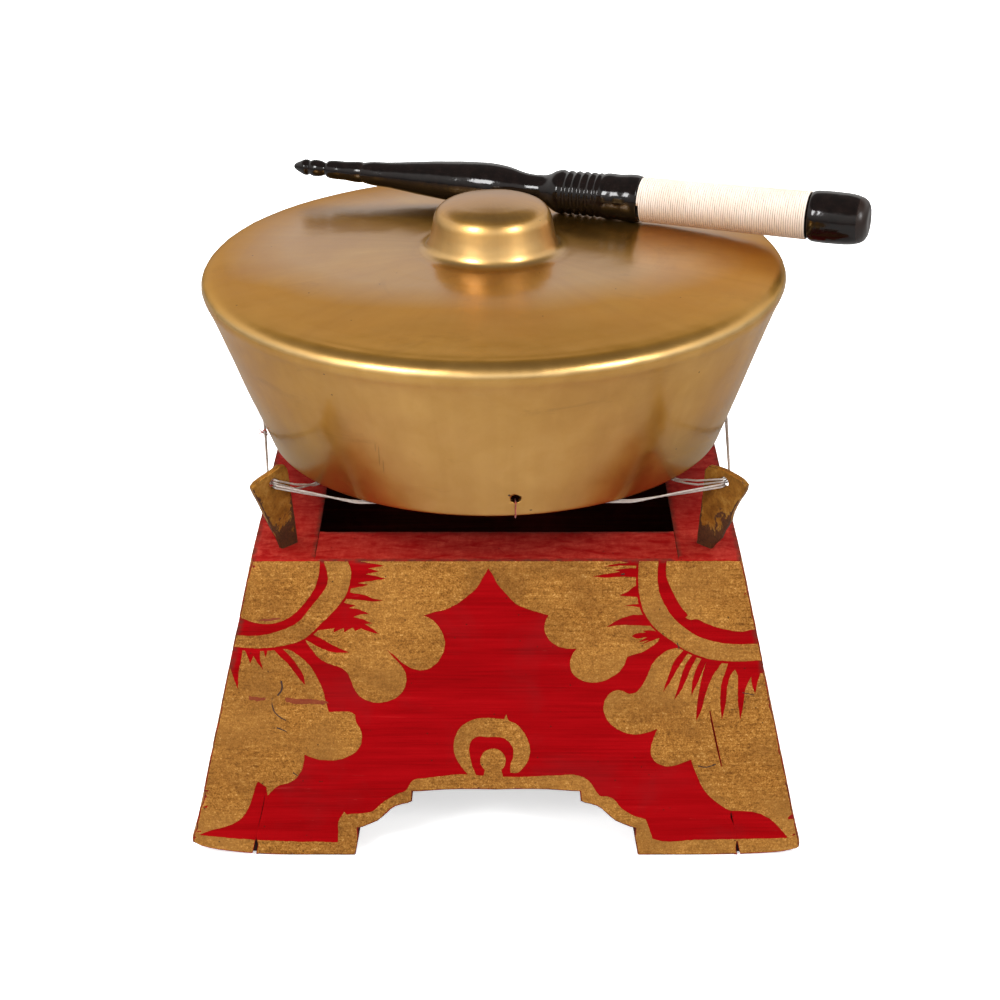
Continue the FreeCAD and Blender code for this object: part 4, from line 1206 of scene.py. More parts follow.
R_LOWER_RED = [
    [(92.2, 108.4), (89, 104.6), (86.8, 100.6), (85.2, 96), (82.4, 86.4), (85.2, 90.8), (88, 96.2), (91, 101.4), (94.4, 107)],
    [(96.6, 106.4), (93.4, 101), (91.2, 95), (90.0, 90), (87.9, 82.4), (91, 87), (93.6, 93), (96, 99), (98.8, 105)],
    [(101.2, 104.6), (98.2, 98), (96.6, 92), (96.4, 84.8), (98.6, 90), (101, 96), (103.8, 103.6)],
    [(103.8, 104.2), (101.2, 94), (99.6, 84), (98.9, 71.4), (101.4, 77), (103.2, 85), (106.6, 94.6), (111.8, 103)],
    [(114.4, 103.2), (113.0, 97.6), (111.5, 93), (110.7, 84), (111.9, 71.8), (113.7, 82), (114.2, 90), (115.8, 96),
     (117.5, 98.5), (118.6, 96.4), (119.2, 90), (119.4, 82), (120.9, 71.8), (122.4, 82), (123.2, 89), (125.5, 94.5),
     (126.4, 90), (128, 85.8), (129.0, 92), (130.4, 96), (136, 97), (136, 104), (125, 103.4)],
]
# R_FOOT is left empty; SPLITS are hairline splits in the old wood
R_FOOT = []
SPLITS = [
    [(-106.6, 92.5), (-105.8, 92.8), (-105.4, 89.6), (-106.2, 86.6), (-108, 84.6), (-108.4, 85.2), (-106.9, 87.2), (-106.2, 89.6)],
    [(-111.2, 83.6), (-110.7, 83.8), (-111.2, 79.6), (-109.6, 75.6), (-106.8, 73.0), (-104.4, 71.8), (-104.3, 72.3),
     (-106.6, 73.6), (-109.2, 76.0), (-110.6, 79.6)],
    [(-109.0, 67.8), (-104.2, 66.0), (-104.1, 66.5), (-108.8, 68.5)],
    [(-101.6, 44.2), (-99.2, 42.6), (-99.0, 43.1), (-101.4, 44.8)],
    [(88.6, 112.4), (89.1, 112.2), (90.2, 109.4), (89.6, 109.2)],
    [(100.4, 47.6), (104.6, 47.0), (109.4, 48.6), (109.2, 49.1), (104.6, 47.6), (100.6, 48.1)],
    [(60.6, 147.2), (62.4, 147.4), (62.4, 146.6), (60.8, 146.5)],
    [(121.6, 86.2), (127.6, 85.0), (127.7, 85.35), (121.8, 86.6)],
]


def rough_line(pts, seed, amp=0.20):
    """A brushed edge: each outline wanders a little from its drawn line."""
    out = []
    for p in pts:
        a = noise.noise_vector(V(p[0] * 0.55, p[1] * 0.55, seed)) * amp
        b = noise.noise_vector(V(p[0] * 0.09, p[1] * 0.09, seed + 5)) * (0.5 if seed else 0.15)
        out.append((p[0] + a.x + b.x, p[1] + a.y + b.y))
    return out


def split_poly(k, end):
    """Outline of each stretch where the joint at this end stands open."""
    res, run = [], []
    n = 200
    for i in range(n + 1):
        z = STAND_H * i / n
        c = crack_open(k, end, z)
        if c > 0.10:
            u0 = BASE_HALF - BOARD_T - S * z
            run.append((u0, c, z / CL))
        if (c <= 0.10 or i == n) and run:
            if len(run) > 2:
                left = [(end * (u0 + 0.25), v) for u0, c, v in run]
                right = [(end * (u0 - c - 0.15), v) for u0, c, v in reversed(run)]
                res.append(left + right)
            run = []
    return res


def gild(name, k, flip, seed):
    o, u, v, n = side_frame(k)
    layers = []

    def lay(pts, mid, step=0.95, sharp=42.0, amp=0.20):
        c = hermite(pts, step, True, sharp)
        c = rough_line([(p.x, p.y) for p in c], seed * 13.7, amp)
        if flip:
            c = [(-a, b) for a, b in c]
        layers.append((c, mid))

    lay(L_CLOUD, 1)
    lay(R_CLOUD, 1)
    for w in L_CLOUD_RED + R_CLOUD_RED:
        lay(w, 0, 0.8)
    lay(L_LOWER, 1)
    lay(R_LOWER, 1)
    for w in L_LOWER_RED + R_LOWER_RED:
        lay(w, 0, 0.8)
    for ring, red, disc in ((L_RING, L_RED, L_DISC), (R_RING, R_RED, R_DISC)):
        lay(ring, 1)
        lay(red, 0)
        lay(disc, 1)
    lay(CRESCENT, 1, 0.8)
    lay(PEARL, 1, 0.8)
    lay(BORDER, 1)
    for w in L_SMUDGE:
        lay(w, 3, 0.8, amp=0.5)
    if k == 0:
        for w in SPLITS:
            lay(w, 2, 0.6, amp=0.12)
    for end in (-1, 1):
        for w in split_poly(k, end) if k in (0, 2) else []:
            layers.append((w, 0))

    # the face outline, held back from the worn rims
    base = [(-BASE_HALF, 0.0)]
    arch = densify(arch_loop(), 1.6)
    base += [(-arch_u(0), 0.0)] + [p for p in arch if p[1] > 0.4] + [(arch_u(0), 0.0), (BASE_HALF, 0.0)]
    base += [(TOP_HALF, V_TOP), (-TOP_HALF, V_TOP)]
    base = densify(base + [base[0]], 2.2)[:-1]
    D = inset_dirs(base)
    clip = []
    for p, d in zip(base, D):
        m = 0.62 + 0.38 * noise.noise(V(p[0] * 0.25, p[1] * 0.25, seed + 3))
        if p[1] > V_TOP - 0.5:
            m = 0.38 + 0.2 * noise.noise(V(p[0] * 0.4, 3.0, seed))
        if p[1] < 0.3:
            m = 0.95
        q = Vector(p) + d * max(m, 0.2)
        clip.append((q.x, q.y))
    loops = [clip] + [c for c, _ in layers]
    extra = grid_points(clip, 6.0) + edge_rows(clip, (1.3, 2.8, 4.6), 1)
    pts, tris, _ = triangulate(loops, extra)
    P = np.array([(p[0], p[1]) for p in pts])
    T = np.array(tris)
    cen = P[T].mean(1)
    ids = np.zeros(len(T), int)
    for c, mid in layers:
        ids[inside(cen, c)] = mid
    ids[~inside(cen, clip)] = 0
    keep = [i for i in range(len(T)) if ids[i] > 0]
    surf, verts, faces, mats = {}, [], [], []

    def top(i):
        if i not in surf:
            p = o + u * P[i][0] + v * P[i][1]
            q = warp(p)
            verts.append(q - n * 0.12)
            verts.append(q + n * 0.16)
            surf[i] = len(verts) - 2
        return surf[i]

    edges = {}
    for i in keep:
        a, b, c = (int(x) for x in T[i])
        ar = (P[b][0] - P[a][0]) * (P[c][1] - P[a][1]) - (P[c][0] - P[a][0]) * (P[b][1] - P[a][1])
        if ar < 0:
            b, c = c, b
        f = (top(a), top(b), top(c))
        faces.append(f)
        mats.append(ids[i] - 1)
        for x, y in ((a, b), (b, c), (c, a)):
            if (y, x) in edges:
                edges[(y, x)] = None
            else:
                edges[(x, y)] = True
    for (x, y), ok in edges.items():
        if ok:
            a, b = surf[x], surf[y]
            faces.append((a, a + 1, b + 1, b))
            mats.append(0)
    used = sorted({i for f in faces for i in f})
    ren = {g: i for i, g in enumerate(used)}
    verts = [verts[g] for g in used]
    faces = [tuple(ren[i] for i in f) for f in faces]
    ob = new_mesh(name, verts, faces, [MAT_GOLD, MAT_DARK, MAT_RUBBED], [int(m) for m in mats], sharp_deg=30)
    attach(ob, "stand")
    return ob


gild("gilding_front", 0, False, 0)
gild("gilding_right", 1, True, 1)
gild("gilding_rear", 2, False, 2)
gild("gilding_left", 3, True, 3)


# ------------------------------------------------------------------ cord pegs
def circle2(c, r, n, ccw=True):
    pts = [(c[0] + r * math.cos(2 * math.pi * i / n), c[1] + r * math.sin(2 * math.pi * i / n)) for i in range(n)]
    return pts if ccw else list(reversed(pts))


def corner_axes(sx, sy):
    return V(sx * R2, sy * R2, 0), V(-sx * R2, sy * R2, 0)


for _name, (_sx, _sy, _out, _hole) in CORNERS.items():
    _e, _nA = corner_axes(_sx, _sy)
    _m = _e.cross(V(0, 0, 1))
    _ro, _ri = _out[0][0], _out[-1][0]
    _loop = list(_out) + [(_ri - 0.4, 131.0), (_ri + 2.0, 128.0), (_ro - 3.0, 128.0), (_ro - 1.2, 131.0)]
    _c = [(p.x, p.y) for p in hermite(_loop, 1.0, True, 30.0)]
    _c = [(p[0] + 0.16 * noise.noise(V(p[0] * .5, p[1] * .5, _sx * 3.0 + _sy)),
           p[1] + 0.16 * noise.noise(V(p[0] * .5, p[1] * .5, _sx * 5.0 + _sy + 9))) for p in _c]
    _h = circle2(_hole, 2.62, 36, False)

    def _pos(sgn, e=_e, m=_m, seed=_sx * 2.0 + _sy):
        def f(p):
            b = 0.13 * noise.noise(V(p[0] * 0.22, p[1] * 0.22, seed)) if p[1] > 150 else 0.0
            return e * p[0] + V(0, 0, p[1]) + m * (sgn * (PEG_T / 2 - 0.06) + b)
        return f
    _v, _f, _k, _w = slab([_c, _h], [_c, _h], _pos(1), _pos(-1),
                          lambda p, li, side: 0.45 if li else 0.62, grid=1.8, across=3)
    _w = [w * 0.9 if w else 0.0 for w in _w]
    _ob = new_mesh("cord_peg_" + _name + "_plate", _v, _f, [MAT_PEG], attrs={"wear_and_groove_shade": _w}, sharp_deg=50)
    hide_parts("cord_peg_" + _name)
    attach(_ob, "stand")

for _name in CORNERS:
    _ob = frame["nodes"]["corner_dowels_" + _name]
    _ob.data.materials.clear()
    _ob.data.materials.append(MAT_DOWEL)


# ------------------------------------------------------------------ gong
def offset_in(points, t):
    out = []
    n = len(points)
    for i, (r, z) in enumerate(points):
        a, b = points[max(i - 1, 0)], points[min(i + 1, n - 1)]
        dr, dz = b[0] - a[0], b[1] - a[1]
        if i == n - 1:
            dr, dz = -1.0, 0.0
        L = math.hypot(dr, dz)
        out.append((r - dz / L * t, z + dr / L * t))
    return out


def lathe_piece(name, prof, seg, mats, mat_of, disp, place, polish_and_highlight, closed=True, uvname="lathe"):
    """Turned surface: prof is (r, z, outside?) down the whole section."""
    verts, faces, idx, polish_and_highlight_vals = [], [], [], []
    rings = []
    s = 0.0
    slen = []
    for i, (r, z, *_t) in enumerate(prof):
        if i:
            s += math.hypot(r - prof[i - 1][0], z - prof[i - 1][1])
        slen.append(s)
        if r < 1e-4:
            verts.append(place(disp(0.0, 0.0, z, i)))
            polish_and_highlight_vals.append(polish_and_highlight(0.0, z))
            rings.append([len(verts) - 1] * seg)
            continue
        row = []
        for k in range(seg):
            a = math.pi / 2 + 2 * math.pi * k / seg
            verts.append(place(disp(a, r, z, i)))
            polish_and_highlight_vals.append(polish_and_highlight(r, z))
            row.append(len(verts) - 1)
        rings.append(row)
    uvs = []
    n = len(rings)
    for i in range(n if closed else n - 1):
        a, b = rings[i], rings[(i + 1) % n]
        sa, sb = slen[i], slen[(i + 1) % n] if i + 1 < n else slen[i] + 0.5
        for k in range(seg):
            j = (k + 1) % seg
            f = [a[k], a[j], b[j], b[k]]
            t = [(k / seg, sa), ((k + 1) / seg, sa), ((k + 1) / seg, sb), (k / seg, sb)]
            g, h = [], []
            for x, y in zip(f, t):
                if x not in g:
                    g.append(x)
                    h.append(y)
            if len(g) < 3:
                continue
            faces.append(tuple(g))
            uvs += h
            idx.append(mat_of(i))
    me = bpy.data.meshes.new(name)
    me.from_pydata([world(p) for p in verts], [], faces)
    for m in mats:
        me.materials.append(m)
    me.polygons.foreach_set("material_index", idx)
    me.polygons.foreach_set("use_smooth", [True] * len(faces))
    a = me.attributes.new("polish_and_highlight", "FLOAT", "POINT")
    a.data.foreach_set("value", polish_and_highlight_vals)
    uv = me.uv_layers.new(name=uvname)
    uv.data.foreach_set("uv", [c for x, y in uvs for c in (x, y * 0.001)])
    me.update()
    ob = bpy.data.objects.new(name, me)
    bpy.context.scene.collection.objects.link(ob)
    return ob


_outer = [(p.x, p.y) for p in hermite(GONG_OUT, 1.55, False, 50.0)]
_inner = [(max(r, 0.0), z) for r, z in offset_in(GONG_OUT, SHELL_T)]
_inner[-1] = (0.0, _inner[-1][1])
_in2 = [(p.x, p.y) for p in hermite(list(reversed(_inner)), 4.5, False, 50.0)]
_lip = [(_inner[0][0] + 0.5, 174.25), (118.3, LIP_Z), (119.0, LIP_Z), (119.65, 174.25)]
_prof = [(max(r, 0.0), z, 0) for r, z in _in2] + [(r, z, 1) for r, z in _lip] + [(max(r, 0.0), z, 1) for r, z in _outer]
_nin = len(_in2)


def gong_disp(a, r, z, i):
    """Hand-raised metal: broad dents, finer hammer marks near the shoulder."""
    ca, sa = math.cos(a), math.sin(a)
    p = V(r * ca, r * sa, z)
    amp = 0.34 * noise.noise(p * 0.020 + V(5, 1, 2)) + 0.16 * noise.noise(p * 0.055 + V(1, 8, 3))
    sh = math.exp(-((z - 258.5) / 7.0) ** 2) if r > 120 else 0.0
    amp += sh * (0.16 * noise.noise(p * 0.16 + V(2, 2, 7)) + 0.07 * noise.noise(p * 0.45))
    if z < 200:
        amp *= 0.5
    if r > 118 and z < 190:
        amp *= 0.2
    if 255 < z and r < 60:
        amp *= 0.45
    # outward direction of the section, roughly
    if z > 262.5 and r < 142:
        d = V(0, 0, 1)
        amp = min(amp, 0.10) if (p - V(35, 58, 268)).length < 90 else amp
    else:
        d = V(ca, sa, -0.3 if z < 255 else 0.3).normalized()
    if z > 272 and r < 36:
        d = V(ca * 0.8, sa * 0.8, 0.5).normalized() if r > 1 else V(0, 0, 1)
        amp = 0.12 * noise.noise(p * 0.09 + V(4, 4, 4)) - 0.05
    q = p + d * amp
    q.x += GONG_X
    q.y += GONG_Y
    return q


def gong_polish_and_highlight(r, z):
    a = math.exp(-((z - 257.6) / 4.2) ** 2) if r > 130 else 0.0
    b = 0.9 * math.exp(-((z - 279.0) / 8.5) ** 2) if 28 < r < 38 else 0.0
    return max(a, b)


gong = lathe_piece("gong_shell", _prof, 352, [MAT_BRONZE, MAT_BRONZE_IN],
                   lambda i: 1 if i < _nin else 0, gong_disp, g2w, gong_polish_and_highlight)

# the small hole in the wall
_az = math.radians(GONG_HOLE_AZ)
_rad = V(math.cos(_az), math.sin(_az), 0)
_cv, _cf = [], []
_hn = 40
_side = _rad.cross(V(0, 0, 1))
for _q in range(2):
    for _i in range(_hn):
        _a = 2 * math.pi * _i / _hn
        _rr = GONG_HOLE_R * (1 + 0.05 * noise.noise(V(math.cos(_a), math.sin(_a), 3.3)))
        _p = _rad * (108 + 30 * _q) + V(GONG_X, GONG_Y, GONG_HOLE_Z) + _side * (math.cos(_a) * _rr) + V(0, 0, math.sin(_a) * _rr)
        _cv.append(world(g2w(_p)))
for _i in range(_hn):
    _j = (_i + 1) % _hn
    _cf.append((_i, _j, _hn + _j, _hn + _i))
_cf.append(tuple(range(_hn - 1, -1, -1)))
_cf.append(tuple(range(_hn, 2 * _hn)))
_cm = bpy.data.meshes.new("hole_cutter")
_cm.from_pydata(_cv, [], _cf)
_cm.materials.append(MAT_BRONZE_IN)
_cut = bpy.data.objects.new("hole_cutter", _cm)
bpy.context.scene.collection.objects.link(_cut)


def fix_normals(me):
    bm = bmesh.new()
    bm.from_mesh(me)
    bmesh.ops.recalc_face_normals(bm, faces=bm.faces)
    bm.to_mesh(me)
    bm.free()


def apply_boolean(ob, cutter):
    fix_normals(ob.data)
    fix_normals(cutter.data)
    bpy.context.view_layer.update()
    md = ob.modifiers.new("cut", "BOOLEAN")
    md.operation = "DIFFERENCE"
    md.solver = "EXACT"
    md.object = cutter
    dg = bpy.context.evaluated_depsgraph_get()
    me = bpy.data.meshes.new_from_object(ob.evaluated_get(dg), preserve_all_data_layers=True, depsgraph=dg)
    ob.modifiers.clear()
    old = ob.data
    if len(me.polygons) > 100:
        ob.data = me
        bpy.data.meshes.remove(old)
        ob.data.name = ob.name
    bpy.data.objects.remove(cutter)


apply_boolean(gong, _cut)
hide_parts("gong_bowl")
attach(gong, "gong")


# ------------------------------------------------------------------ cords
def fillet_path(points, radii, step):
    """Points along a polyline whose corners are arcs of the given radii."""
    pts, rr = [points[0]], []
    for i in range(1, len(points) - 1):
        a, b = points[i] - pts[-1], points[i + 1] - points[i]
        if math.degrees(a.angle(b)) < 0.05:
            continue
        pts.append(points[i])
        rr.append(radii[i - 1])
    pts.append(points[-1])
    out = []

    def line(a, b):
        n = max(1, int(math.ceil((b - a).length / step)))
        out.extend(a.lerp(b, i / n) for i in range(n))
    prev = pts[0]
    for i in range(1, len(pts) - 1):
        b = pts[i]
        a, w = pts[i - 1] - b, pts[i + 1] - b
        la, lw = a.length, w.length
        a.normalize()
        w.normalize()
        half = a.angle(w) / 2
        d = min(rr[i - 1] / math.tan(half), 0.45 * la, 0.45 * lw)
        R = d * math.tan(half)
        s, e = b + a * d, b + w * d
        bis = (a + w).normalized()
        c = b + bis * (R / math.sin(half))
        line(prev, s)
        sweep = math.pi - 2 * half
        n = max(2, int(math.ceil(R * sweep / step)))
        v0, v1 = s - c, e - c
        for k in range(n):
            t = k / n
            out.append(c + (v0 * math.sin((1 - t) * sweep) + v1 * math.sin(t * sweep)) / math.sin(sweep))
        prev = e
    line(prev, pts[-1])
    out.append(pts[-1])
    return out


def pair_paths(points, turns):
    a, b = [], []
    n = len(points)
    for i, p in enumerate(points):
        t = V(0, 0, 0)
        if i > 0:
            t += (p - points[i - 1]).normalized()
        if i < n - 1:
            t += (points[i + 1] - p).normalized()
        t.normalize()
        h = t.cross(V(0, 0, 1)).normalized()
        v = h.cross(t)
        ang = math.radians(turns[i])
        # the real strands lie a little apart between the hole and the lip
        apart = PAIR_HALF * (1.0 if i < 2 or i > n - 3 else 1.45)
        o = (h * math.cos(ang) + v * math.sin(ang)) * apart
        a.append(p + o)
        b.append(p - o)
    return a, b


def rope_mesh(path, r, sides=12, lobes=3, depth=0.12, pitch=3.6, seed=0.0, cap0=True, cap1=True,
              r_at=None, s0=0.0):
    """A twisted round cord along a path."""
    verts, faces = [], []
    n = len(path)
    t_prev = (path[1] - path[0]).normalized()
    up = V(0, 0, 1) if abs(t_prev.z) < 0.9 else V(1, 0, 0)
    nx = (up - t_prev * up.dot(t_prev)).normalized()
    s = s0
    for i in range(n):
        if 0 < i < n - 1:
            t = (path[i + 1] - path[i - 1]).normalized()
        elif i == 0:
            t = (path[1] - path[0]).normalized()
        else:
            t = (path[-1] - path[-2]).normalized()
        q = t_prev.rotation_difference(t)
        nx = q @ nx
        nx = (nx - t * nx.dot(t)).normalized()
        t_prev = t
        ny = t.cross(nx)
        if i:
            s += (path[i] - path[i - 1]).length
        rr = r if r_at is None else r_at(i / (n - 1))
        for k in range(sides):
            th = 2 * math.pi * k / sides
            ph = th - 2 * math.pi * s / pitch
            m = 1 - depth + depth * abs(math.cos(lobes * ph / 2)) ** 0.7
            m *= 1 + 0.02 * noise.noise(V(s * 0.9, th, seed))
            verts.append(path[i] + (nx * math.cos(th) + ny * math.sin(th)) * (rr * m))
    for i in range(n - 1):
        for k in range(sides):
            j = (k + 1) % sides
            faces.append((i * sides + k, i * sides + j, (i + 1) * sides + j, (i + 1) * sides + k))
    if cap0:
        faces.append(tuple(range(sides - 1, -1, -1)))
    if cap1:
        faces.append(tuple((n - 1) * sides + k for k in range(sides)))
    return verts, faces


def merge(parts):
    V_, F_ = [], []
    for v, f in parts:
        b = len(V_)
        V_ += v
        F_ += [tuple(i + b for i in x) for x in f]
    return V_, F_


def hole_point(name, off, dz, back=False):
    sx, sy, _o, h = CORNERS[name]
    e, nA = corner_axes(sx, sy)
    return e * h[0] + V(0, 0, h[1] + dz) + nA * (-off if back else off)


UNDER = LIP_Z - STRAND_R - 0.08


def wall_r(z):
    return LIP_R + (z - LIP_Z) * WALL_SLOPE


def end_run(sy):
    a, b = ("front_left", "front_right") if sy < 0 else ("rear_left", "rear_right")
    y0, y1 = (-100.0, -103.5) if sy < 0 else (104.5, 104.5)
    r0 = 121.2 if sy < 0 else 123.4
    x0, x1 = math.sqrt(r0 ** 2 - y0 * y0), math.sqrt(123.4 ** 2 - y1 * y1)
    h0, h1 = hole_point(a, 3.1, -1.30), hole_point(b, 3.1, -1.30)
    l0, l1 = g2w(V(GONG_X - x0, y0, UNDER - 0.35)), g2w(V(GONG_X + x1, y1, UNDER))
    pts = [hole_point(a, 0.4, -1.27), h0, h0.lerp(l0, 0.45), l0,
           l1, h1.lerp(l1, 0.45), h1, hole_point(b, 0.4, -1.27)]
    return pts, [90, 90, 45, 0, 0, 45, 90, 90], [1.5, 40, 14, 14, 40, 1.5], (h0, l0), (h1, l1)


def cross_run(a, b, drop):
    heads = []
    for nm in (a, b):
        sx, sy, _o, h = CORNERS[nm]
        e, nA = corner_axes(sx, sy)
        h2 = hole_point(nm, 2.42, 1.32)
        az = math.atan2(e.y, e.x) - math.radians(4.5) * (1 if e.x * e.y > 0 else -1)
        ec = V(math.cos(az), math.sin(az), 0)
        lipp = g2w(ec * 121.6 + nA * 2.0 + V(GONG_X, GONG_Y, UNDER - 0.2))
        clear = e * 141.0 + nA * 2.42 + V(0, 0, h2.z * 0.58 + lipp.z * 0.42)
        heads.append([hole_point(nm, 0.4, 1.30), h2, clear, clear.lerp(lipp, 0.5), lipp])
    mid = g2w(V(GONG_X, GONG_Y, UNDER - drop))
    pts = heads[0] + [mid] + list(reversed(heads[1]))
    return (pts, [90, 90, 90, 45, 0, 0, 0, 45, 90, 90, 90], [1.2, 4, 10, 5, 60, 5, 10, 4, 1.2],
            (heads[0][2], heads[0][4]), (heads[1][2], heads[1][4]))


def side_run(sx, z_g):
    a, b = ("front_left", "rear_left") if sx < 0 else ("front_right", "rear_right")
    lean = math.atan(WALL_SLOPE)
    r = wall_r(z_g) + (STRAND_R + 0.12) / math.cos(lean)
    H0, H1 = hole_point(a, 3.0, 0, True), hole_point(b, 3.0, 0, True)

    def tangent_az(H):
        dx, dy = H.x - GONG_X, H.y - GONG_Y
        return math.atan2(dy, dx), math.acos(r / math.hypot(dx, dy))
    azA, dA = tangent_az(H0)
    azB, dB = tangent_az(H1)
    if sx < 0:
        azA, azB = azA % (2 * math.pi), azB % (2 * math.pi)
        t0, t1 = azA - dA, azB + dB
    else:
        t0, t1 = azA + dA, azB - dB
    k = 5
    rc = r / math.cos((t1 - t0) / (2 * (k - 1)))
    arc = []
    for i in range(k):
        t = t0 + (t1 - t0) * i / (k - 1)
        q = rc if 0 < i < k - 1 else r / math.cos((t1 - t0) / (4 * (k - 1)))
        arc.append(g2w(V(GONG_X + q * math.cos(t), GONG_Y + q * math.sin(t), z_g)))
    pts = [hole_point(a, 0.4, 0, True), H0] + arc + [H1, hole_point(b, 0.4, 0, True)]
    ln = math.degrees(lean) * (1 if sx < 0 else -1)
    return (pts, [90, 90] + [90 + ln] * k + [90, 90], [1.5] + [r - 1] * k + [1.5], (H0, arc[0]), (H1, arc[-1]))


def add_cord(node, run, seed):
    """Two twisted strands, cut in the middle into two meshes, one for each half."""
    pts, turns, radii, start, end = run
    halves = [[], []]
    for s_i, line in enumerate(pair_paths(pts, turns)):
        path = fillet_path(line, radii, 0.9)
        L = [0.0]
        for p, q in zip(path[:-1], path[1:]):
            L.append(L[-1] + (q - p).length)
        m = min(range(len(path)), key=lambda i: abs(L[i] - L[-1] / 2))
        v, f = rope_mesh(path, STRAND_R * 0.86, 10, 3, 0.13, 3.4, seed + s_i)
        sd = 10
        a_v, b_v = v[:(m + 1) * sd], v[m * sd:]
        a_f = [x for x in f if len(x) == 4 and max(x) < (m + 1) * sd] + [tuple(range(sd - 1, -1, -1))]
        b_f = [tuple(i - m * sd for i in x) for x in f if len(x) == 4 and min(x) >= m * sd]
        nb = len(b_v) // sd
        b_f.append(tuple((nb - 1) * sd + k for k in range(sd)))
        halves[0].append((a_v, a_f))
        halves[1].append((b_v, b_f))
    for half, tag, (p0, p1) in ((halves[0], "a", start), (halves[1], "b", end)):
        v, f = merge(half)
        ob = new_mesh(node + "_strands_" + tag, v, f, [MAT_NYLON])
        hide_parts(node)
        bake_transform(ob)


_left = side_run(-1, 180.2)
add_cord("front_cord", end_run(-1), 1)
add_cord("rear_cord", end_run(1), 5)
add_cord("left_cord", _left, 9)
add_cord("right_cord", side_run(1, 178.6), 13)
add_cord("cross_cord_upper", cross_run("front_left", "rear_right", 0.0), 17)
add_cord("cross_cord_lower", cross_run("front_right", "rear_left", 1.75), 21)

# thread tied round the two strands of the left run
_lp = _left[0]
_tv = _lp[2] - _lp[1]
_K = _lp[1] + _tv * ((-35.0 - _lp[1].y) / _tv.y)
_tv.normalize()
_hv = _tv.cross(V(0, 0, 1)).normalized()
_vv = _hv.cross(_tv)
_ka = math.atan(WALL_SLOPE) * 0.82
_hv, _vv = _hv * math.cos(_ka) + _vv * math.sin(_ka), _vv * math.cos(_ka) - _hv * math.sin(_ka)
_path = []
_turns, _n = 3, 26
for _i in range(_turns * _n + 1):
    _t = _i / _n
    _a = 2 * math.pi * _t
    _cx, _cy = math.cos(_a), math.sin(_a)
    _rr = STRAND_R + 0.34
    _p = _K + _hv * (_cx * _rr) + _vv * (_cy * _rr + math.copysign(PAIR_HALF, _cy) * min(1.0, abs(_cy) * 3))
    _path.append(_p + _tv * ((_t / _turns - 0.5) * 1.3))
_parts = [rope_mesh(_path, 0.21, 8, 2, 0.15, 1.1, 31)]
for _q, (_d, _L) in enumerate(((V(-1.0, -0.25, -0.10), 5.0), (V(-0.75, 0.1, 0.62), 5.4), (V(-0.9, 0.35, 0.30), 3.6),
                               (V(-0.85, -0.5, 0.25), 2.6))):
    _d.normalize()
    _b0 = _K + V(-1, 0, 0) * (STRAND_R + 0.30)
    _pp = []
    for _i in range(10):
        _t = _i / 9
        _pp.append(_b0 + _d * (_L * _t) + V(0, 0, -0.9 if _q == 0 else 0.35) * (_t * _t)
                   + noise.noise_vector(V(_t * 2.2, _q * 5.0, 1.0)) * (0.35 * _t))
    _parts.append(rope_mesh(_pp, 0.2, 7, 2, 0.15, 1.0, 40 + _q, r_at=lambda t: 0.22 - 0.10 * t))
_v, _f = merge(_parts)
_knot = new_mesh("binding_thread_tied", _v, _f, [MAT_THREAD])
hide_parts("cord_binding_thread")
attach(_knot, "cord_sling")

# thread looped through the gong's small hole and round the lip
_zc = GONG_HOLE_Z - GONG_HOLE_R + 0.35 + 0.12
_wi = SHELL_T / math.cos(math.atan(WALL_SLOPE))
_loop = [(wall_r(_zc) - _wi / 2 + 0.3, _zc), (wall_r(_zc) + 0.6, _zc), (wall_r(174.6) + 0.75, 174.4),
         (119.9, 173.15), (118.5, 172.9), (117.2, 173.1), (wall_r(174.6) - _wi - 0.75, 174.6),
         (wall_r(_zc) - _wi - 0.6, _zc), (wall_r(_zc) - _wi / 2 - 0.3, _zc)]
_l3 = [g2w(_rad * r + V(GONG_X, GONG_Y, z)) for r, z in _loop]
_pa = fillet_path(_l3, [0.5] * 7, 0.4)
_pa = [p + _side * (0.25 * noise.noise(V(p.z * 0.3, 2.0, 7.0))) for p in _pa]
_v, _f = rope_mesh(_pa, 0.33, 9, 2, 0.18, 1.5, 50)
_th = new_mesh("hole_thread_loop", _v, _f, [MAT_THREAD])
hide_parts("gong_hole_thread")
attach(_th, "gong")


# ------------------------------------------------------------------ mallet
def dome_z(x, y):
    r = math.hypot(x - GONG_X, y - GONG_Y)
    pr = [p for p in GONG_OUT if p[0] <= 145.0 and p[1] >= 263.0 and p[0] >= 37]
    for (r1, z1), (r0, z0) in zip(pr, pr[1:]):
        if r0 <= r <= r1:
            return z0 + (z1 - z0) * (r - r0) / (r1 - r0)
    return 265.0


_P1 = V(MAL_P1[0], MAL_P1[1], dome_z(*MAL_P1) + MAL_R1 + MALLET_GAP)
_P2 = V(MAL_P2[0], MAL_P2[1], dome_z(*MAL_P2) + MAL_R2 + MALLET_GAP)
_ax = (_P2 - _P1).normalized()
_st = _P1 - _ax * MAL_S1
_ex = _ax.cross(V(0, 0, 1)).normalized()
_ey = _ex.cross(_ax)


def mal(r, a, s):
    """A point at radius r, angle a and length s of the mallet; a = 90 is up."""
    return g2w(_st + _ax * s + (_ex * math.cos(a) + _ey * math.sin(a)) * r)


_core0, _core1 = WRAP_R0 - 1.2, WRAP_R1 - 1.2
_tp = [(p.x, p.y) for p in hermite([(0.0, 0.02)] + STICK, 0.8, False, 62.0)]
_tp += [(WRAP_S0 - 0.25, 11.6), (WRAP_S0 - 0.1, _core0), (WRAP_S1 + 0.1, _core1), (WRAP_S1 + 0.25, 12.0)]
_tp += [(p.x, p.y) for p in hermite(CAP, 0.8, False, 62.0)]
_tp = [(max(r, 0.0), s, 0) for s, r in _tp]


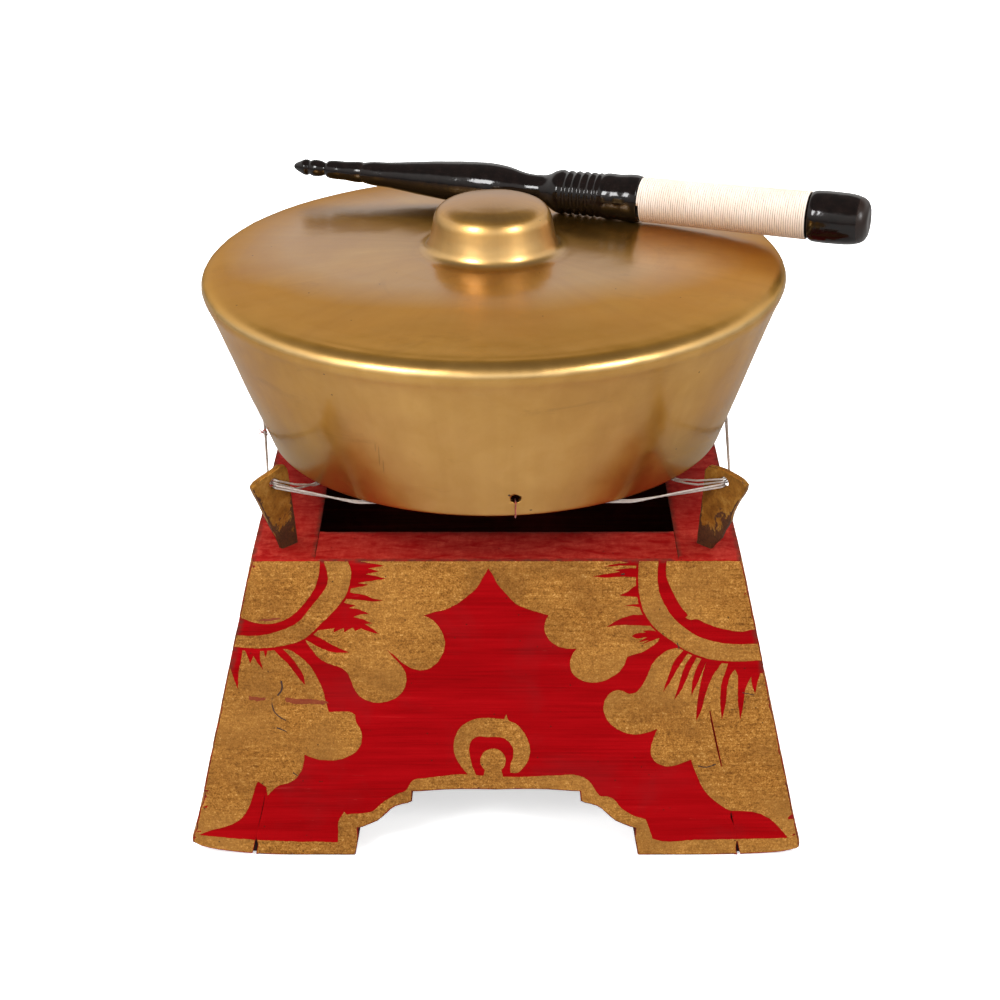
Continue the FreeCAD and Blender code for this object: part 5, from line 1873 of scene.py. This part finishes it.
def mal_disp(a, r, s, i):
    q = V(r * math.cos(a), r * math.sin(a), s)
    k = 0.10 if 22 < s < 200 else 0.04
    m = noise.noise(q * 0.10 + V(1, 2, 3)) * k + noise.noise(q * 0.35) * 0.03
    rr = max(0.0, r + m - 0.05) if r > 0.3 else r
    return V(rr * math.cos(a), rr * math.sin(a), s)


def mal_place(q):
    r = math.hypot(q.x, q.y)
    a = math.atan2(q.y, q.x)
    return mal(r, a, q.z)


stick = lathe_piece("mallet_turned_stick", _tp, 80, [MAT_LACQ], lambda i: 0, mal_disp, mal_place,
                    lambda r, z: 0.0, closed=False)
_wr = stick.data.attributes.new("wear_and_groove_shade", "FLOAT", "POINT")
_co = [0.0] * len(stick.data.vertices)
_k = 0
for (_r, _s, _t) in _tp:
    _nv = 1 if _r < 1e-4 else 80
    _val = 0.9 if _s > 319.2 else (0.25 if 41.6 < _s < 43.2 else 0.0)
    for _i in range(_nv):
        _co[_k] = _val
        _k += 1
_wr.data.foreach_set("value", _co)
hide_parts("mallet_stick")
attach(stick, "mallet")

# the close winding of cord on the striking end
_pitch, _seg = 1.18, 44
_h0, _h1 = WRAP_S0 + 0.62, WRAP_S1 - 0.62
_nt = int((_h1 - _h0) / _pitch * _seg)
_wv, _wf, _ww = [], [], []
_sd = 9
for _i in range(_nt + 1):
    _a = 2 * math.pi * _i / _seg
    _s = _h0 + (_h1 - _h0) * _i / _nt
    _f01 = (_s - WRAP_S0) / (WRAP_S1 - WRAP_S0)
    _R = WRAP_R0 + (WRAP_R1 - WRAP_R0) * _f01 - 0.60
    _R += 0.03 * noise.noise(V(_s * 0.6, math.cos(_a), math.sin(_a)))
    _ds = 0.035 * noise.noise(V(_s * 1.7, 3.0 + math.cos(_a), math.sin(_a)))
    for _k in range(_sd):
        _t = 2 * math.pi * _k / _sd
        _tw = 1 - 0.05 + 0.05 * math.cos(2 * _t + _i * 0.9)
        _wv.append(mal(_R + 0.60 * math.cos(_t) * _tw, _a, _s + _ds + 0.60 * math.sin(_t) * _tw))
        # painted shade mask: strongest on the inner side of each turn and in the grooves between turns
        _ww.append(max(0.0, min(1.0, 0.12 - math.cos(_t) * 0.6)))
for _i in range(_nt):
    for _k in range(_sd):
        _j = (_k + 1) % _sd
        _wf.append((_i * _sd + _k, (_i + 1) * _sd + _k, (_i + 1) * _sd + _j, _i * _sd + _j))
_wf.append(tuple(range(_sd)))
_wf.append(tuple(_nt * _sd + k for k in range(_sd - 1, -1, -1)))
wrap = new_mesh("mallet_wound_cord", _wv, _wf, [MAT_WRAP], attrs={"wear_and_groove_shade": _ww})

# close the tiny openings left in these meshes and turn every face outward
for _nm in ("mallet_turned_stick", "mallet_wound_cord", "joint_shade_filler_left", "joint_shade_filler_right",
            "front_panel_painted", "rear_panel_painted", "left_board_painted", "right_board_painted"):
    _bm = bmesh.new()
    _bm.from_mesh(bpy.data.objects[_nm].data)
    _open = [e for e in _bm.edges if e.is_boundary]
    if _open:
        bmesh.ops.holes_fill(_bm, edges=_open, sides=0)
    bmesh.ops.recalc_face_normals(_bm, faces=_bm.faces)
    if _bm.calc_volume(signed=True) < 0:
        bmesh.ops.reverse_faces(_bm, faces=_bm.faces)
    _bm.to_mesh(bpy.data.objects[_nm].data)
    _bm.free()
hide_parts("mallet_cord_wrap")
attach(wrap, "mallet")


# ------------------------------------------------------------------ floor, light, camera
def floor_mat():
    """Pale studio floor. It reads white to the camera and softer in reflections."""
    M = Mat("pale_floor")
    nz = M.noise(M.scaled(3, 3, 3), 1.0, 3, 0.5)
    seen = M.ramp(nz, [(0.3, (0.93, 0.93, 0.93)), (0.7, (0.95, 0.95, 0.95))])
    path = M.n("ShaderNodeLightPath")
    M.set(base=M.mix((path, 0), (0.38, 0.38, 0.375), (seen, 0)), rough=0.95, spec=0.1)
    # far from the object the floor fades to plain white
    ln = M.n("ShaderNodeVectorMath", operation="LENGTH")
    M.put(ln, 0, (M.coord, "Object"))
    far = M.n("ShaderNodeMapRange")
    far.inputs["From Min"].default_value = 0.30
    far.inputs["From Max"].default_value = 1.2
    far.inputs["To Min"].default_value = 0.58
    far.inputs["To Max"].default_value = 1.2
    M.put(far, "Value", (ln, "Value"))
    M.put(M.bsdf, "Emission Color", (1, 1, 1, 1))
    M.put(M.bsdf, "Emission Strength", M.math("MULTIPLY", far, (path, 0)))
    # seen from below, the floor does not hide the underside of the stand
    nt = M.m.node_tree
    out = [n for n in nt.nodes if n.type == "OUTPUT_MATERIAL"][0]
    geo = nt.nodes.new("ShaderNodeNewGeometry")
    both = nt.nodes.new("ShaderNodeMath")
    both.operation = "MULTIPLY"
    nt.links.new(geo.outputs["Backfacing"], both.inputs[0])
    nt.links.new(path.outputs[0], both.inputs[1])
    clear = nt.nodes.new("ShaderNodeBsdfTransparent")
    mixs = nt.nodes.new("ShaderNodeMixShader")
    nt.links.new(both.outputs[0], mixs.inputs[0])
    nt.links.new(M.bsdf.outputs[0], mixs.inputs[1])
    nt.links.new(clear.outputs[0], mixs.inputs[2])
    nt.links.new(mixs.outputs[0], out.inputs[0])
    return M.m


_me = bpy.data.meshes.new("floor")
_g = 6.0
_me.from_pydata([(-_g, -_g, 0), (_g, -_g, 0), (_g, _g, 0), (-_g, _g, 0)], [], [(0, 1, 2, 3)])
_me.materials.append(floor_mat())
floor = bpy.data.objects.new("floor", _me)
bpy.context.scene.collection.objects.link(floor)

scene = bpy.context.scene


def softbox(name, loc, aim, sx, sy, power, col=(1, 1, 1), glossy=True):
    ld = bpy.data.lights.new(name, "AREA")
    ld.shape = "RECTANGLE"
    ld.size, ld.size_y = sx, sy
    ld.energy = power
    ld.color = col
    ob = bpy.data.objects.new(name, ld)
    scene.collection.objects.link(ob)
    ob.location = loc
    ob.rotation_euler = (Vector(aim) - Vector(loc)).to_track_quat("-Z", "Y").to_euler()
    ob.visible_glossy = glossy
    return ob


softbox("over_left", (-0.75, -0.20, 1.75), (0, 0, 0.2), 1.0, 1.2, 22, glossy=False)
softbox("over_right", (0.80, -0.16, 1.75), (0, 0, 0.2), 1.0, 1.2, 19, glossy=False)
softbox("key_front_left", (-1.02, -1.16, 1.17), (0, 0, 0.25), 0.46, 0.54, 17)
softbox("key_front_right", (1.10, -1.12, 1.12), (0, 0, 0.25), 0.36, 0.50, 11)
softbox("front_fill", (0, -2.2, 1.1), (0, 0, 0.15), 1.6, 0.8, 3, glossy=False)
softbox("rear_fill", (0, 2.3, 1.3), (0, 0, 0.15), 1.8, 0.8, 12, glossy=False)

world_ = bpy.data.worlds.new("studio")
scene.world = world_
world_.use_nodes = True
wt = world_.node_tree
bg = wt.nodes["Background"]
tc = wt.nodes.new("ShaderNodeTexCoord")
sp = wt.nodes.new("ShaderNodeSeparateXYZ")
wt.links.new(tc.outputs["Generated"], sp.inputs[0])
rm = wt.nodes.new("ShaderNodeValToRGB")
wt.links.new(sp.outputs[2], rm.inputs[0])
cr = rm.color_ramp
while len(cr.elements) < 4:
    cr.elements.new(0.5)
for el, (pos, c) in zip(cr.elements, [(0.0, 0.60), (0.22, 1.05), (0.52, 1.35), (0.64, 0.24)]):
    el.position = pos
    el.color = (c, c * 0.985, c * 0.96, 1)
wt.links.new(rm.outputs[0], bg.inputs[0])
bg.inputs[1].default_value = 0.8
# the backdrop itself reads plain white to the camera
bg2 = wt.nodes.new("ShaderNodeBackground")
bg2.inputs[0].default_value = (1, 1, 1, 1)
bg2.inputs[1].default_value = 1.0
lp = wt.nodes.new("ShaderNodeLightPath")
wmix = wt.nodes.new("ShaderNodeMixShader")
wt.links.new(lp.outputs[0], wmix.inputs[0])
wt.links.new(bg.outputs[0], wmix.inputs[1])
wt.links.new(bg2.outputs[0], wmix.inputs[2])
wout = [n for n in wt.nodes if n.type == "OUTPUT_WORLD"][0]
wt.links.new(wmix.outputs[0], wout.inputs[0])

cam_d = bpy.data.cameras.new("camera")
cam_d.sensor_width = 36.0
cam_d.lens = 69.61
cam = bpy.data.objects.new("camera", cam_d)
scene.collection.objects.link(cam)
cam.location = (OFF.x + 0.0018, OFF.y - 0.950, OFF.z + 0.59066)
cam.rotation_euler = (math.radians(63.84), 0, 0)
scene.camera = cam
scene.view_settings.view_transform = "Standard"
scene.view_settings.look = "None"
scene.view_settings.exposure = 0.0
